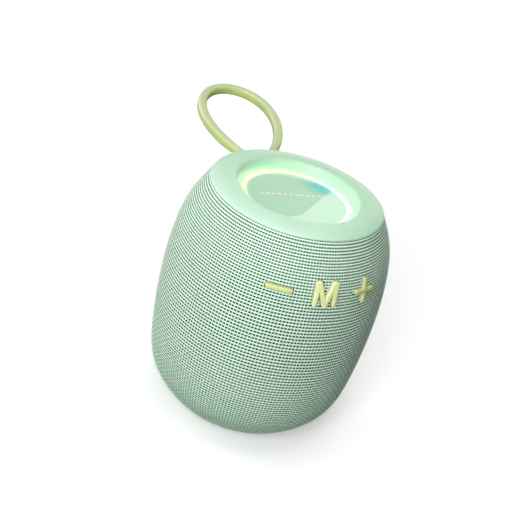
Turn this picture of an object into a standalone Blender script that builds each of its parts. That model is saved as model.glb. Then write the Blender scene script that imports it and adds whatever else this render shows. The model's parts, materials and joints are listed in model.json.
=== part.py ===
"""Portable shower speaker: a barrel-shaped fabric-covered body with a mint top cap, a light ring,
three raised glyph keys, a silicone carrying loop and the electronics and transducers inside.

Frame: origin at the centre of the flat rubber foot, +Z up, the middle key faces -Y (the front),
the loop and the charging port are on the +Y side (the rear). Lengths are in millimetres and
angles in degrees; the helpers turn them into metres and radians.
"""

import math

import bmesh
import bpy
import numpy as np
from mathutils import Matrix, Vector

MM = 0.001
GAP = 0.3  # clearance kept between neighbouring pieces

# ---------------------------------------------------------------- driving dimensions
BODY = [  # (height, outer radius) of the fabric surface, bottom to top
    (1.5, 27.8), (12.25, 36.2), (23.0, 38.6), (33.75, 39.6), (44.5, 40.0),
    (55.25, 39.85), (66.0, 38.85), (76.75, 36.35), (87.5, 30.7),
]
FABRIC_T = 0.9
SHELL_T = 1.8
SHELL_OUT = FABRIC_T + GAP  # inward offset of the grille shell's outer surface
SHELL_IN = SHELL_OUT + SHELL_T
SHELL_Z0, SHELL_Z1 = 6.5, 82.6

SEGMENTS = 32  # facets round the big turned pieces
SMALL_SEGMENTS = 20
CUTTER_SEGMENTS = 72  # facets round the turned cutters that shape visible faces

# The cabinet is a drum with a flat at the front and one at the rear
FLAT = 25.0  # distance of the flats from the axis
CAB_R, CAB_Z0, CAB_Z1, CAB_T = 33.4, 18.0, 65.5, 2.0
CAB_H = CAB_Z1 - CAB_Z0
DRIVER_Z = (CAB_Z0 + CAB_Z1) / 2  # height of driver and radiator axes
PORT_Z = 13.4

# ---------------------------------------------------------------- scene
for old in list(bpy.data.objects):
    bpy.data.objects.remove(old, do_unlink=True)


def new_collection(name):
    made = bpy.data.collections.new(name)
    bpy.context.scene.collection.children.link(made)
    return made


PARTS = new_collection("shower_speaker")
CUTTERS = new_collection("cutters")
CUTTERS.hide_render = True


# ---------------------------------------------------------------- materials
def make_material(name, colour, roughness, metallic=0.0, alpha=1.0):
    made = bpy.data.materials.new(name)
    made.use_nodes = True
    inputs = made.node_tree.nodes["Principled BSDF"].inputs
    inputs["Base Color"].default_value = (*colour, 1.0)
    inputs["Roughness"].default_value = roughness
    inputs["Metallic"].default_value = metallic
    inputs["Alpha"].default_value = alpha
    made.diffuse_color = (*colour, alpha)
    return made


FABRIC = make_material("mint_fabric", colour=(0.42, 0.66, 0.48), roughness=0.9)
MINT = make_material("mint_plastic", colour=(0.57, 0.84, 0.62), roughness=0.45)
MINT_GLOSS = make_material("mint_gloss", colour=(0.50, 0.78, 0.56), roughness=0.2)
DIFFUSER = make_material("light_diffuser", colour=(0.95, 0.97, 0.85), roughness=0.4, alpha=0.9)
SHELL = make_material("dark_green_plastic", colour=(0.05, 0.12, 0.08), roughness=0.6)
BLACK = make_material("black_plastic", colour=(0.03, 0.03, 0.03), roughness=0.5)
LIME = make_material("lime_silicone", colour=(0.60, 0.69, 0.28), roughness=0.55)
KEY = make_material("yellow_green_silicone", colour=(0.72, 0.76, 0.32), roughness=0.5)
RUBBER = make_material("green_rubber", colour=(0.20, 0.35, 0.25), roughness=0.8)
FOAM = make_material("black_foam", colour=(0.05, 0.05, 0.05), roughness=0.95)
PAPER = make_material("cone_pulp", colour=(0.08, 0.08, 0.08), roughness=0.8)
STEEL = make_material("plated_steel", colour=(0.60, 0.60, 0.60), roughness=0.3, metallic=1.0)
FERRITE = make_material("ferrite", colour=(0.08, 0.08, 0.09), roughness=0.7)
COPPER = make_material("copper_wire", colour=(0.72, 0.35, 0.18), roughness=0.35, metallic=1.0)
BOARD = make_material("circuit_board", colour=(0.02, 0.18, 0.08), roughness=0.5)
CHIP = make_material("chip_resin", colour=(0.02, 0.02, 0.02), roughness=0.4)
LED = make_material("led_white", colour=(0.9, 0.9, 0.85), roughness=0.3)
CELL = make_material("battery_wrap", colour=(0.10, 0.25, 0.55), roughness=0.4)
WIRE = make_material("red_wire", colour=(0.6, 0.05, 0.04), roughness=0.5)


# ---------------------------------------------------------------- body surface
def natural_spline(points, count):
    """count points along a natural cubic spline through 2D points, by chord length."""
    points = np.array(points, float)
    chord = np.r_[0, np.cumsum(np.hypot(*np.diff(points, axis=0).T))]
    step = np.diff(chord)
    knots = len(chord)
    matrix = np.zeros((knots, knots))
    matrix[0, 0] = matrix[-1, -1] = 1
    rhs = np.zeros((knots, 2))
    for i in range(1, knots - 1):
        before, after = step[i - 1], step[i]
        matrix[i, i - 1 : i + 2] = before, 2 * (before + after), after
        slope_before = (points[i] - points[i - 1]) / before
        rhs[i] = 6 * ((points[i + 1] - points[i]) / after - slope_before)
    bend = np.linalg.solve(matrix, rhs)  # second derivatives at the knots
    along = np.linspace(0, chord[-1], count)
    i = np.clip(np.searchsorted(chord, along, side="right") - 1, 0, knots - 2)
    to_next = (chord[i + 1] - along)[:, None]
    from_last = (along - chord[i])[:, None]
    width = step[i][:, None]
    return (
        (bend[i] * to_next**3 + bend[i + 1] * from_last**3) / (6 * width)
        + (points[i] / width - bend[i] * width / 6) * to_next
        + (points[i + 1] / width - bend[i + 1] * width / 6) * from_last
    )


CURVE = natural_spline(BODY, 800)  # (z, r) samples of the body's meridian
TANGENT = np.gradient(CURVE, axis=0)
TANGENT /= np.linalg.norm(TANGENT, axis=1)[:, None]
NORMAL = np.c_[-TANGENT[:, 1], TANGENT[:, 0]]  # (z, r) components of the outward normal
STATIONS = [2 + 794 * i // 10 for i in range(11)]  # samples shared by all skins


def body_radius(z, inward=0.0):
    """Radius at a height of the body surface moved inward, run on straight past its top."""
    moved = CURVE - inward * NORMAL
    slope = (moved[-1] - moved[-30]) / 29
    beyond = max(0.0, z - moved[-1, 0])
    return float(np.interp(z, moved[:, 0], moved[:, 1]) + beyond * slope[1] / slope[0])


def body_path(inward, z_from, z_to, count):
    """(radius, height) points on the offset body surface, evenly spaced along it."""
    heights = np.linspace(z_from, z_to, 300)
    radii = np.array([body_radius(z, inward) for z in heights])
    length = np.r_[0, np.cumsum(np.hypot(np.diff(heights), np.diff(radii)))]
    return [
        (float(np.interp(along, length, radii)), float(np.interp(along, length, heights)))
        for along in np.linspace(0, length[-1], count)
    ]


def skin(inward, z_low=-1.0, z_high=99.0):
    """(radius, height) points, going up, of the surface moved inward, clipped in height."""
    heights, radii = zip(*(CURVE[i] - inward * NORMAL[i] for i in STATIONS))
    low, high = max(z_low, heights[0]), min(z_high, heights[-1])
    kept = [low] + [z for z in heights if low + 0.8 < z < high - 0.8] + [high]
    return [(float(np.interp(z, heights, radii)), float(z)) for z in kept]


# ---------------------------------------------------------------- helpers
def link(obj, material):
    """A piece with a material is a part; one without is a hidden Boolean helper."""
    if material:
        PARTS.objects.link(obj)
        obj.data.materials.append(material)
    else:
        CUTTERS.objects.link(obj)
        obj.hide_render = True
        obj.display_type = "WIRE"
    return obj


def pose(obj, centre, rotation):
    obj.location = Vector(centre) * MM
    obj.rotation_euler = [math.radians(angle) for angle in rotation]
    return obj


def turned(name, profile, material=None, segments=SEGMENTS, centre=(0, 0, 0), rotation=(0, 0, 0)):
    """A solid turned about its own Z: profile is (radius, z), closed unless both ends are on it."""
    closed = not (abs(profile[0][0]) < 1e-9 and abs(profile[-1][0]) < 1e-9)
    if sum(a[0] * b[1] - b[0] * a[1] for a, b in zip(profile, profile[1:] + profile[:1])) > 0:
        profile = profile[::-1]  # down the outer side, so the faces point outward
    mesh = bpy.data.meshes.new(name)
    last = len(profile) - 1
    edges = [(i, i + 1) for i in range(last)] + ([(last, 0)] if closed else [])
    mesh.from_pydata([(radius * MM, 0, z * MM) for radius, z in profile], edges, [])
    obj = link(bpy.data.objects.new(name, mesh), material)
    screw = obj.modifiers.new("turn", "SCREW")
    screw.axis = "Z"
    screw.angle = math.radians(360.0)
    screw.steps = screw.render_steps = segments
    screw.use_merge_vertices = True
    screw.merge_threshold = 0.00002
    screw.use_smooth_shade = True
    return pose(obj, centre, rotation)


def block(name, size, centre, material=None, rotation=(0, 0, 0), bevel=0.0, segments=2):
    """A box, its edges rounded by a bevel if one is given."""
    mesh = bpy.data.meshes.new(name)
    bm = bmesh.new()
    bmesh.ops.create_cube(bm, size=1.0)
    bmesh.ops.scale(bm, vec=Vector(size) * MM, verts=bm.verts)
    bm.to_mesh(mesh)
    bm.free()
    obj = link(bpy.data.objects.new(name, mesh), material)
    if bevel:
        rounding = obj.modifiers.new("round", "BEVEL")
        rounding.width = bevel * MM
        rounding.segments = segments
        rounding.limit_method = "ANGLE"
    return pose(obj, centre, rotation)


def rod(name, radius, length, centre, material=None, rotation=(0, 0, 0), segments=16):
    """A cylinder along its own Z, centred."""
    mesh = bpy.data.meshes.new(name)
    bm = bmesh.new()
    bmesh.ops.create_cone(bm, cap_ends=True, segments=segments,
                          radius1=radius * MM, radius2=radius * MM, depth=length * MM)
    bm.to_mesh(mesh)
    bm.free()
    return pose(link(bpy.data.objects.new(name, mesh), material), centre, rotation)


def add_poly(curve, points):
    spline = curve.splines.new("POLY")
    spline.points.add(len(points) - 1)
    for target, point in zip(spline.points, points):
        target.co = (*(Vector(point) * MM), 1)
    return spline


def outline(name, points, depth, centre, rotation, material=None):
    """A flat outline in the object's XY, extruded by depth along its Z, centred, as a mesh."""
    curve = bpy.data.curves.new(name + "_outline", "CURVE")
    curve.dimensions = "2D"
    curve.fill_mode = "BOTH"
    curve.extrude = depth * MM / 2
    add_poly(curve, [(x, y, 0) for x, y in points]).use_cyclic_u = True
    source = pose(bpy.data.objects.new(name + "_curve", curve), centre, rotation)
    PARTS.objects.link(source)

    bpy.context.view_layer.update()
    graph = bpy.context.evaluated_depsgraph_get()
    mesh = bpy.data.meshes.new_from_object(source.evaluated_get(graph))
    matrix = source.matrix_world.copy()
    bpy.data.objects.remove(source, do_unlink=True)
    bm = bmesh.new()
    bm.from_mesh(mesh)
    bmesh.ops.remove_doubles(bm, verts=bm.verts, dist=0.00001)  # welds the caps on
    bmesh.ops.recalc_face_normals(bm, faces=bm.faces)
    bm.to_mesh(mesh)
    bm.free()
    mesh.name = name
    mesh.materials.clear()
    made = bpy.data.objects.new(name, mesh)
    made.matrix_world = matrix
    return link(made, material)


def tube(name, points, radius, material, resolution=1, ring=False):
    """A round bar through the points, its ends capped or joined into a ring."""
    curve = bpy.data.curves.new(name, "CURVE")
    curve.dimensions = "3D"
    curve.bevel_depth = radius * MM
    curve.bevel_resolution = resolution
    curve.use_fill_caps = not ring
    add_poly(curve, points).use_cyclic_u = ring
    return link(bpy.data.objects.new(name, curve), material)


def combine(obj, helper, operation="DIFFERENCE"):
    boolean = obj.modifiers.new(helper.name, "BOOLEAN")
    boolean.operation = operation
    boolean.object = helper
    boolean.solver = "EXACT"


def grow(points, distance):
    """A closed outline moved outward by a distance, its corners mitred."""
    pts = np.array(points, float)
    after = np.roll(pts, -1, axis=0)
    area = 0.5 * np.sum(pts[:, 0] * after[:, 1] - after[:, 0] * pts[:, 1])
    grown = []
    for before, corner, following in zip(np.roll(pts, 1, axis=0), pts, after):
        edge_in = (corner - before) / np.linalg.norm(corner - before)
        edge_out = (following - corner) / np.linalg.norm(following - corner)
        normal_in = np.array([edge_in[1], -edge_in[0]])
        normal_out = np.array([edge_out[1], -edge_out[0]])
        if area < 0:
            normal_in, normal_out = -normal_in, -normal_out
        mitre = normal_in + normal_out
        grown.append(tuple(corner + distance * mitre / max(0.15, 1 + normal_in @ normal_out)))
    return grown


def rounded(width, height, radius, steps=3):
    """Outline of a rectangle with rounded corners, centred."""
    x, y = width / 2 - radius, height / 2 - radius
    points = []
    for corner_x, corner_y, start in ((x, y, 0), (-x, y, 90), (-x, -y, 180), (x, -y, 270)):
        for i in range(steps + 1):
            angle = math.radians(start + 90 * i / steps)
            points.append((corner_x + radius * math.cos(angle),
                           corner_y + radius * math.sin(angle)))
    return points


def facing(azimuth):
    """Rotation turning an object's Z outward at an azimuth from -Y towards +X, and its Y up."""
    return (90.0, 0.0, azimuth)


def at(azimuth, radial, z):
    """The point at an azimuth from -Y towards +X, a distance from the axis and a height."""
    angle = math.radians(azimuth)
    return (radial * math.sin(angle), -radial * math.cos(angle), z)


FRONT = facing(0.0)
REAR = facing(180.0)

# ---------------------------------------------------------------- fabric and grille shell
FLOOR_TOP = SHELL_Z0 + SHELL_T
# A rib stands on the shell's floor between radii 24 and 26
FLOOR = [(12.0, SHELL_Z0), (12.0, FLOOR_TOP), (24.0, FLOOR_TOP), (24.0, 10.0), (26.0, 10.0),
         (26.0, FLOOR_TOP)]
fabric = turned("fabric_sleeve", skin(0.0) + skin(FABRIC_T)[::-1], FABRIC)
grille = turned(
    "grille_shell",
    skin(SHELL_OUT, SHELL_Z0, SHELL_Z1)[::-1] + FLOOR + skin(SHELL_IN, FLOOR_TOP, SHELL_Z1),
    SHELL,
)

# ---------------------------------------------------------------- top
# All profiles of turned pieces are (radius, z)
TOP_CAP = [
    (0, 80.3), (21.25, 80.3), (21.25, 86.0), (21.45, 87.5), (21.9, 88.6), (22.8, 89.05),
    (24.6, 89.1), (27.0, 88.85), (29.2, 88.35), (30.5, 87.8), (30.85, 87.45), (29.3, 87.4),
    (29.2, 82.0), (27.7, 82.0), (27.5, 86.2), (24.0, 87.0), (23.3, 86.3), (23.3, 78.8), (0, 78.8),
]
LIGHT_RING = [
    (18.35, 85.55), (20.95, 86.0), (20.95, 82.1), (20.1, 82.1), (20.1, 83.1), (16.6, 83.1),
    (16.6, 83.9), (18.35, 83.9),
]
TOP_DISC = [(0, 85.1), (9.0, 85.2), (17.8, 85.5), (18.0, 85.3), (18.0, 84.2), (0, 84.2)]
LED_BOARD = [(20.7, 81.8), (20.7, 80.6), (12.0, 80.6), (12.0, 81.8)]
LED_COUNT = 6
LED_CIRCLE_R, LED_Z = 18.4, 82.45

turned("top_cap", TOP_CAP, MINT)
turned("light_ring", LIGHT_RING, DIFFUSER)
turned("top_disc", TOP_DISC, MINT_GLOSS)
turned("led_board", LED_BOARD, BOARD, SMALL_SEGMENTS)
for i in range(LED_COUNT):
    azimuth = 360.0 / LED_COUNT * (i + 0.5)
    block(f"led_{i + 1}", (2.6, 2.0, 0.7), at(azimuth, LED_CIRCLE_R, LED_Z), LED, (0, 0, azimuth))

# ---------------------------------------------------------------- base, foot and base screws
BASE_OUT, BASE_IN = 1.5, 3.4  # inward offsets of the base cover's wall
BASE_RIM_Z = 6.2
BASE_COVER = (
    [(0, 3.3), (25.4, 3.3)]
    + skin(BASE_IN, 4.4, BASE_RIM_Z)
    + skin(BASE_OUT, 2.5, BASE_RIM_Z)[::-1]
    + [(27.0, 1.3), (26.2, 0.8), (22.3, 0.8), (22.3, 1.5), (0, 1.5)]
)
FOOT_PAD = [(0, 1.2), (22.0, 1.2), (22.0, 0.3), (21.7, 0.0), (0, 0.0)]
BASE_SCREW = [
    (0, 8.9), (0.8, 8.9), (1.0, 8.6), (1.0, 3.9), (1.9, 3.9), (1.9, 2.5), (1.5, 2.1), (0, 2.1),
]
SCREW_CIRCLE_R = 17.0
BOSS_R, COUNTERBORE_R, SCREW_HOLE_R = 3.8, 2.25, 1.35

base_cover = turned("base_cover", BASE_COVER, MINT)
turned("foot_pad", FOOT_PAD, RUBBER)
SCREW_AZIMUTHS = [60.0 + 120.0 * i for i in range(3)]
for i, azimuth in enumerate(SCREW_AZIMUTHS):
    boss = rod(f"boss_{i}", BOSS_R, 3.4, at(azimuth, SCREW_CIRCLE_R, 4.5))
    combine(base_cover, boss, "UNION")
for i, azimuth in enumerate(SCREW_AZIMUTHS):  # after all the bosses are joined on
    for target, name, radius, length, z in (
        (base_cover, "counterbore", COUNTERBORE_R, 3.2, 2.6),
        (base_cover, "base_hole", SCREW_HOLE_R, 8.0, 6.0),
        (grille, "shell_hole", SCREW_HOLE_R, 6.0, 7.6),
    ):
        centre = at(azimuth, SCREW_CIRCLE_R, z)
        combine(target, rod(f"{name}_{i}", radius, length, centre, segments=12))
    turned(f"base_screw_{i + 1}", BASE_SCREW, STEEL, 12, at(azimuth, SCREW_CIRCLE_R, 0))

# ---------------------------------------------------------------- sound slots in the grille shell
SLOT_COUNT, SLOT_PITCH, SLOT_WIDTH = 5, 7.0, 4.0
SLOT_FIELD_R = 20.0  # the slots' ends lie on this circle
for side, name in ((-1, "front"), (1, "rear")):
    for i in range(SLOT_COUNT):
        x = SLOT_PITCH * (i - (SLOT_COUNT - 1) / 2)
        height = 2 * math.sqrt(SLOT_FIELD_R**2 - x**2)
        combine(grille, block(f"{name}_slot_{i}", (SLOT_WIDTH, 20.0, height),
                              (x, side * 37.0, DRIVER_Z)))

# ---------------------------------------------------------------- keys
KEY_Z = 71.4  # height of the key row
KEY_PROUD = 0.8  # key face above the fabric
KEY_FLANGE = 32.0  # distance of the flange's outer face from the axis
FLANGE_T = 1.2
HALF = 1.4 / 2  # half the width of the glyphs' strokes
WINDOW = 0.35  # clearance round a glyph
KEYS = {  # azimuth, flange width, flange height
    "minus": (-23.4, 11.4, 6.0),
    "mode": (0.65, 11.0, 11.0),
    "plus": (24.7, 11.0, 11.0),
}
GLYPHS = {  # (across, up) outlines
    "minus": [
        (-4.55, -0.45), (-4.3, -HALF), (4.3, -HALF), (4.55, -0.45),
        (4.55, 0.45), (4.3, HALF), (-4.3, HALF), (-4.55, 0.45),
    ],
    "plus": [
        (-HALF, -4.4), (HALF, -4.4), (HALF, -HALF), (4.4, -HALF), (4.4, HALF), (HALF, HALF),
        (HALF, 4.4), (-HALF, 4.4), (-HALF, HALF), (-4.4, HALF), (-4.4, -HALF), (-HALF, -HALF),
    ],
    "mode": [
        (-4.15, -4.1), (-2.85, -4.1), (-2.55, 0.9), (-0.78, -4.1), (0.78, -4.1), (2.55, 0.9),
        (2.85, -4.1), (4.15, -4.1), (4.1, 4.35), (2.05, 4.35), (0.0, -1.3), (-2.05, 4.35),
        (-4.1, 4.35),
    ],
}
# The middle window has no webs between the glyph's legs
OPENINGS = dict(GLYPHS, mode=[GLYPHS["mode"][0]] + GLYPHS["mode"][7:])
KEY_FACE = body_path(-KEY_PROUD, 82.0, 60.0, 14)

envelope = turned("key_envelope", [(0, 82)] + KEY_FACE + [(0, 60)], segments=CUTTER_SEGMENTS)
for key, (azimuth, flange_width, flange_height) in KEYS.items():
    turn = facing(azimuth)

    def behind(depth):
        """The point on the key's axis a depth behind its flange's outer face."""
        return at(azimuth, KEY_FLANGE - depth, KEY_Z)

    window = outline(f"{key}_window", grow(OPENINGS[key], WINDOW), 12.0,
                     at(azimuth, 36.5, KEY_Z), turn)
    combine(fabric, window)
    combine(grille, window)

    glyph = outline(f"{key}_key", GLYPHS[key], 14.0, behind(-6.4), turn, KEY)
    combine(glyph, envelope, "INTERSECT")
    flange = block(f"{key}_flange", (flange_width, flange_height, FLANGE_T),
                   behind(FLANGE_T / 2), rotation=turn)
    combine(glyph, flange, "UNION")
    pip = rod(f"{key}_pip", 1.6, 1.6, behind(1.4), rotation=turn, segments=12)
    combine(glyph, pip, "UNION")

    # a plunger standing in the switch's round well
    rod(f"{key}_plunger", 1.4, 2.1, behind(3.55), CHIP, turn, 12)
    switch = block(f"{key}_switch", (5.6, 5.6, 2.6), behind(4.9), STEEL, turn,
                   bevel=0.3, segments=1)
    combine(switch, rod(f"{key}_well", 1.75, 2.5, behind(4.25), rotation=turn, segments=12))

# flexible key circuit: a strip bent to an arc behind the switches
STRIP_OUT_R, STRIP_IN_R, STRIP_H = 25.6, 24.6, 8.8
STRIP_START, STRIP_SWEEP, STRIP_STEPS = -128.0, 76.0, 18
arc = [math.radians(STRIP_START + STRIP_SWEEP * i / STRIP_STEPS) for i in range(STRIP_STEPS + 1)]
strip = [(STRIP_OUT_R * math.cos(angle), STRIP_OUT_R * math.sin(angle)) for angle in arc]
strip += [(STRIP_IN_R * math.cos(angle), STRIP_IN_R * math.sin(angle)) for angle in arc[::-1]]
outline("key_board", strip, STRIP_H, (0, 0, KEY_Z), (0, 0, 0), BOARD)

# ---------------------------------------------------------------- cabinet
CAB_CENTRE = (0, 0, DRIVER_Z)
CAB_SEGMENTS = 48
SPLIT = 0.6  # distance of the two halves' joint faces from the middle plane
GASKET_T = 0.6
BEYOND = 80  # longer than the cabinet is wide

# the whole drum as a hidden helper, which no Boolean uses
rod("cabinet_block", CAB_R, CAB_H, CAB_CENTRE, segments=CAB_SEGMENTS)
void = rod("cabinet_void", CAB_R - CAB_T, CAB_H - 2 * CAB_T, CAB_CENTRE, segments=CAB_SEGMENTS)
void_trim = block("void_trim", (BEYOND, 2 * (FLAT - CAB_T), BEYOND), CAB_CENTRE)
combine(void, void_trim, "INTERSECT")


def cabinet_half(name, side, bore_radius):
    half = rod(name, CAB_R, CAB_H, CAB_CENTRE, BLACK, segments=CAB_SEGMENTS)
    trim = block(name + "_trim", (BEYOND, FLAT - SPLIT, 60),
                 (0, side * (FLAT + SPLIT) / 2, DRIVER_Z))
    combine(half, trim, "INTERSECT")
    combine(half, void)
    combine(half, rod(name + "_bore", bore_radius, 12, (0, side * FLAT, DRIVER_Z),
                      rotation=FRONT, segments=36))
    return half


cabinet_front = cabinet_half("cabinet_front", -1, 17.9)
cabinet_half("cabinet_rear", 1, 17.0)
gasket = block("cabinet_gasket", (2 * CAB_R, GASKET_T, CAB_H), CAB_CENTRE, RUBBER)
combine(gasket, block("gasket_hole", (2 * (CAB_R - CAB_T), 4, CAB_H - 2 * CAB_T), CAB_CENTRE))

# ---------------------------------------------------------------- driver
# Local Z points outward to -Y, zero at the cabinet's front flat
DRIVER_PARTS = {
    "gasket": (FOAM, [(22.6, 1.0), (22.6, 0.3), (18.3, 0.3), (18.3, 1.0)]),
    "basket": (STEEL, [
        (22.6, 2.4), (22.6, 1.3), (17.6, 1.3), (17.2, -1.5), (15.6, -8.0), (15.6, -9.3),
        (8.2, -9.3), (8.2, -8.3), (14.4, -8.3), (14.4, -7.6), (16.2, -1.2), (16.6, 1.2),
        (16.6, 2.4),
    ]),
    "top_plate": (STEEL, [(14.5, -9.6), (14.5, -11.4), (7.5, -11.4), (7.5, -9.6)]),
    "magnet": (FERRITE, [
        (15.8, -11.7), (16.0, -11.9), (16.0, -16.5), (15.8, -16.7), (9.0, -16.7), (9.0, -11.7),
    ]),
    "yoke": (STEEL, [
        (0, -9.6), (6.2, -9.6), (6.2, -17.0), (14.5, -17.0), (14.5, -18.8), (0, -18.8),
    ]),
    "voice_coil": (COPPER, [(7.1, -3.9), (7.1, -13.5), (6.6, -13.5), (6.6, -3.9)]),
    "cone": (PAPER, [(15.0, 0.9), (15.0, 0.4), (7.5, -4.0), (7.5, -3.3), (14.2, 0.9)]),
    "dust_cap": (PAPER, [
        (0, -0.6), (3.0, -0.9), (5.6, -1.9), (6.9, -3.0), (6.9, -3.5), (5.4, -2.4), (2.9, -1.4),
        (0, -1.1),
    ]),
    "spider": (COPPER, [
        (14.0, -6.0), (14.0, -6.4), (12.3, -6.9), (10.7, -6.4), (9.1, -6.9), (7.5, -6.4),
        (7.5, -6.0), (9.1, -6.5), (10.7, -6.0), (12.3, -6.5),
    ]),
    "surround": (RUBBER, [
        (14.4, 1.2), (14.4, 1.7), (15.4, 1.9), (15.9, 3.1), (16.9, 3.8), (17.9, 3.2),
        (19.0, 3.2), (19.0, 2.7), (17.7, 2.7), (16.9, 3.3), (16.3, 2.8), (15.6, 1.2),
    ]),
}
DRIVER_SCREW = [
    (0, 3.6), (1.2, 3.6), (1.5, 3.2), (1.5, 2.7), (0.8, 2.7), (0.8, -3.2), (0.5, -3.6), (0, -3.6),
]
DRIVER_SCREW_CIRCLE_R = 20.9

driver = {
    name: turned(f"driver_{name}", profile, material, SMALL_SEGMENTS, (0, -FLAT, DRIVER_Z), FRONT)
    for name, (material, profile) in DRIVER_PARTS.items()
}
for i in range(4):
    angle = math.radians(45 + 90 * i)
    centre = (DRIVER_SCREW_CIRCLE_R * math.cos(angle), -FLAT,
              DRIVER_Z + DRIVER_SCREW_CIRCLE_R * math.sin(angle))
    hole = rod(f"driver_hole_{i}", 1.15, 9.0, centre, rotation=FRONT, segments=10)
    for target in (driver["basket"], driver["gasket"], cabinet_front):
        combine(target, hole)
    turned(f"driver_screw_{i + 1}", DRIVER_SCREW, STEEL, 10, centre, FRONT)

# ---------------------------------------------------------------- passive radiator
# Local Z points outward to +Y, zero at the cabinet's rear flat
RADIATOR_PARTS = {
    "frame": (BLACK, [(21.6, 1.8), (21.6, 0.3), (17.4, 0.3), (17.4, 1.8)]),
    "surround": (RUBBER, [
        (20.6, 2.6), (20.6, 2.1), (17.4, 2.1), (16.9, 2.5), (15.2, 3.4), (13.6, 2.5),
        (13.2, 2.1), (12.8, 2.1), (12.8, 2.6), (13.3, 3.0), (15.2, 4.0), (17.0, 3.1),
        (17.5, 2.6),
    ]),
    "plate": (STEEL, [(0, 3.0), (9.0, 3.0), (12.5, 2.0), (12.5, 0.8), (11.9, 0.4), (0, 0.4)]),
}
for name, (material, profile) in RADIATOR_PARTS.items():
    turned(f"radiator_{name}", profile, material, SMALL_SEGMENTS, (0, FLAT, DRIVER_Z), REAR)

# ---------------------------------------------------------------- main board and port
BOARD_R, BOARD_T, BOARD_Z = 29.0, 1.2, 10.9
board = rod("main_board", BOARD_R, BOARD_T, (0, 0, BOARD_Z), BOARD, segments=36)
combine(board, block("board_edge", (40, 20, 8), (0, 38.5, BOARD_Z)))

usb = block("usb_c_port", (8.9, 7.6, 3.2), (0, 29.4, PORT_Z), STEEL, bevel=1.0, segments=3)
combine(usb, block("usb_bore", (8.1, 8.0, 2.4), (0, 30.2, PORT_Z), bevel=0.8, segments=3))
combine(usb, block("usb_tongue", (6.6, 6.0, 0.7), (0, 28.9, PORT_Z)), "UNION")

CHIP_FOOT_Z = 11.85  # height of the chips' undersides
for name, x, y, size, material in (
    ("processor_chip", -9.0, 4.0, (7.0, 7.0, 0.9), CHIP),
    ("amplifier_chip", 9.0, -5.0, (5.0, 6.0, 1.2), CHIP),
    ("microphone", 0, -25.0, (3.8, 3.0, 1.1), STEEL),
):
    block(name, size, (x, y, CHIP_FOOT_Z + size[2] / 2), material)

# ---------------------------------------------------------------- battery
CELL_W, CELL_D, CELL_H = 40.0, 30.0, 10.0
CELL_Y = 7.0
CRADLE_H, CRADLE_T, CRADLE_Z = 5.0, 1.2, 68.3
ROOM_W, ROOM_D = CELL_W + 2 * GAP, CELL_D + 2 * GAP
ROOM_Z = CRADLE_Z + CRADLE_T
CELL_Z = ROOM_Z - CRADLE_H / 2 + GAP + CELL_H / 2
cradle = block("battery_cradle", (ROOM_W + 2 * CRADLE_T, ROOM_D + 2 * CRADLE_T, CRADLE_H),
               (0, CELL_Y, CRADLE_Z), BLACK)
combine(cradle, block("cradle_room", (ROOM_W, ROOM_D, CRADLE_H), (0, CELL_Y, ROOM_Z)))
block("battery_cell", (CELL_W, CELL_D, CELL_H), (0, CELL_Y, CELL_Z), CELL, bevel=1.2)

# ---------------------------------------------------------------- cables: (x, y, z) points
BATTERY_CABLE = [
    (20.5, 5.0, 74.0), (25.5, 6.0, 73.0), (27.0, 14.0, 69.5), (23.0, 21.0, 67.8),
    (24.2, 24.2, 66.5), (24.3, 24.8, 64.0), (24.0, 25.9, 60.0), (24.0, 26.2, 42.0),
    (22.8, 26.1, 26.0), (21.0, 25.8, 18.8), (20.4, 25.4, 17.0), (17.0, 17.0, 12.5),
]
SPEAKER_CABLE = [
    (12.0, -13.0, 12.4), (13.0, -13.0, 16.0), (13.0, -13.0, 22.0), (16.5, -12.5, 30.0),
    (18.6, -15.0, 37.0), (18.6, -16.2, 41.75),
]
SIGNAL_CABLE = [
    (-17.0, -16.5, 12.5), (-20.4, -25.4, 17.0), (-21.0, -25.8, 18.8), (-22.8, -26.1, 26.0),
    (-24.0, -26.2, 42.0), (-24.0, -25.9, 60.0), (-24.3, -24.8, 64.0), (-24.2, -24.2, 66.5),
    (-22.5, -21.5, 67.4), (-18.5, -20.5, 66.6), (-15.2, -19.4, 66.6),
]
tube("battery_cable", BATTERY_CABLE, 0.55, WIRE)
tube("speaker_cable", SPEAKER_CABLE, 0.6, WIRE)
tube("signal_cable", SIGNAL_CABLE, 0.55, WIRE)
combine(cabinet_front, rod("cable_hole", 1.1, 5.0, (13.0, -13.0, 19.0), segments=10))

# ---------------------------------------------------------------- port cover, flush with the fabric
FLAP_W, FLAP_H, FLAP_CORNER_R, FLAP_T = 13.0, 8.4, 2.2, 2.2
FLAP_GAP = 0.4  # clearance round the flap
HINGE_Z = PORT_Z - FLAP_H / 2 - 0.1
HINGE_Y = body_radius(HINGE_Z) - 0.2

flap = outline("port_cover", rounded(FLAP_W, FLAP_H, FLAP_CORNER_R), 14.0,
               (0, 35.0, PORT_Z), REAR, MINT)
band = turned("flap_band", body_path(0.0, 22.0, 5.0, 12) + body_path(FLAP_T, 5.0, 22.0, 10),
              segments=CUTTER_SEGMENTS)
combine(flap, band, "INTERSECT")
plug = block("flap_plug", (9.2, 1.6, 3.8), (0, 34.3, PORT_Z), bevel=0.6, segments=1)
combine(flap, plug, "UNION")
opening = rounded(FLAP_W + 2 * FLAP_GAP, FLAP_H + 2 * FLAP_GAP, FLAP_CORNER_R + FLAP_GAP)
port_window = outline("port_window", opening, 12.0, (0, 36.0, PORT_Z), REAR)
combine(fabric, port_window)
combine(grille, port_window)

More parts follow.
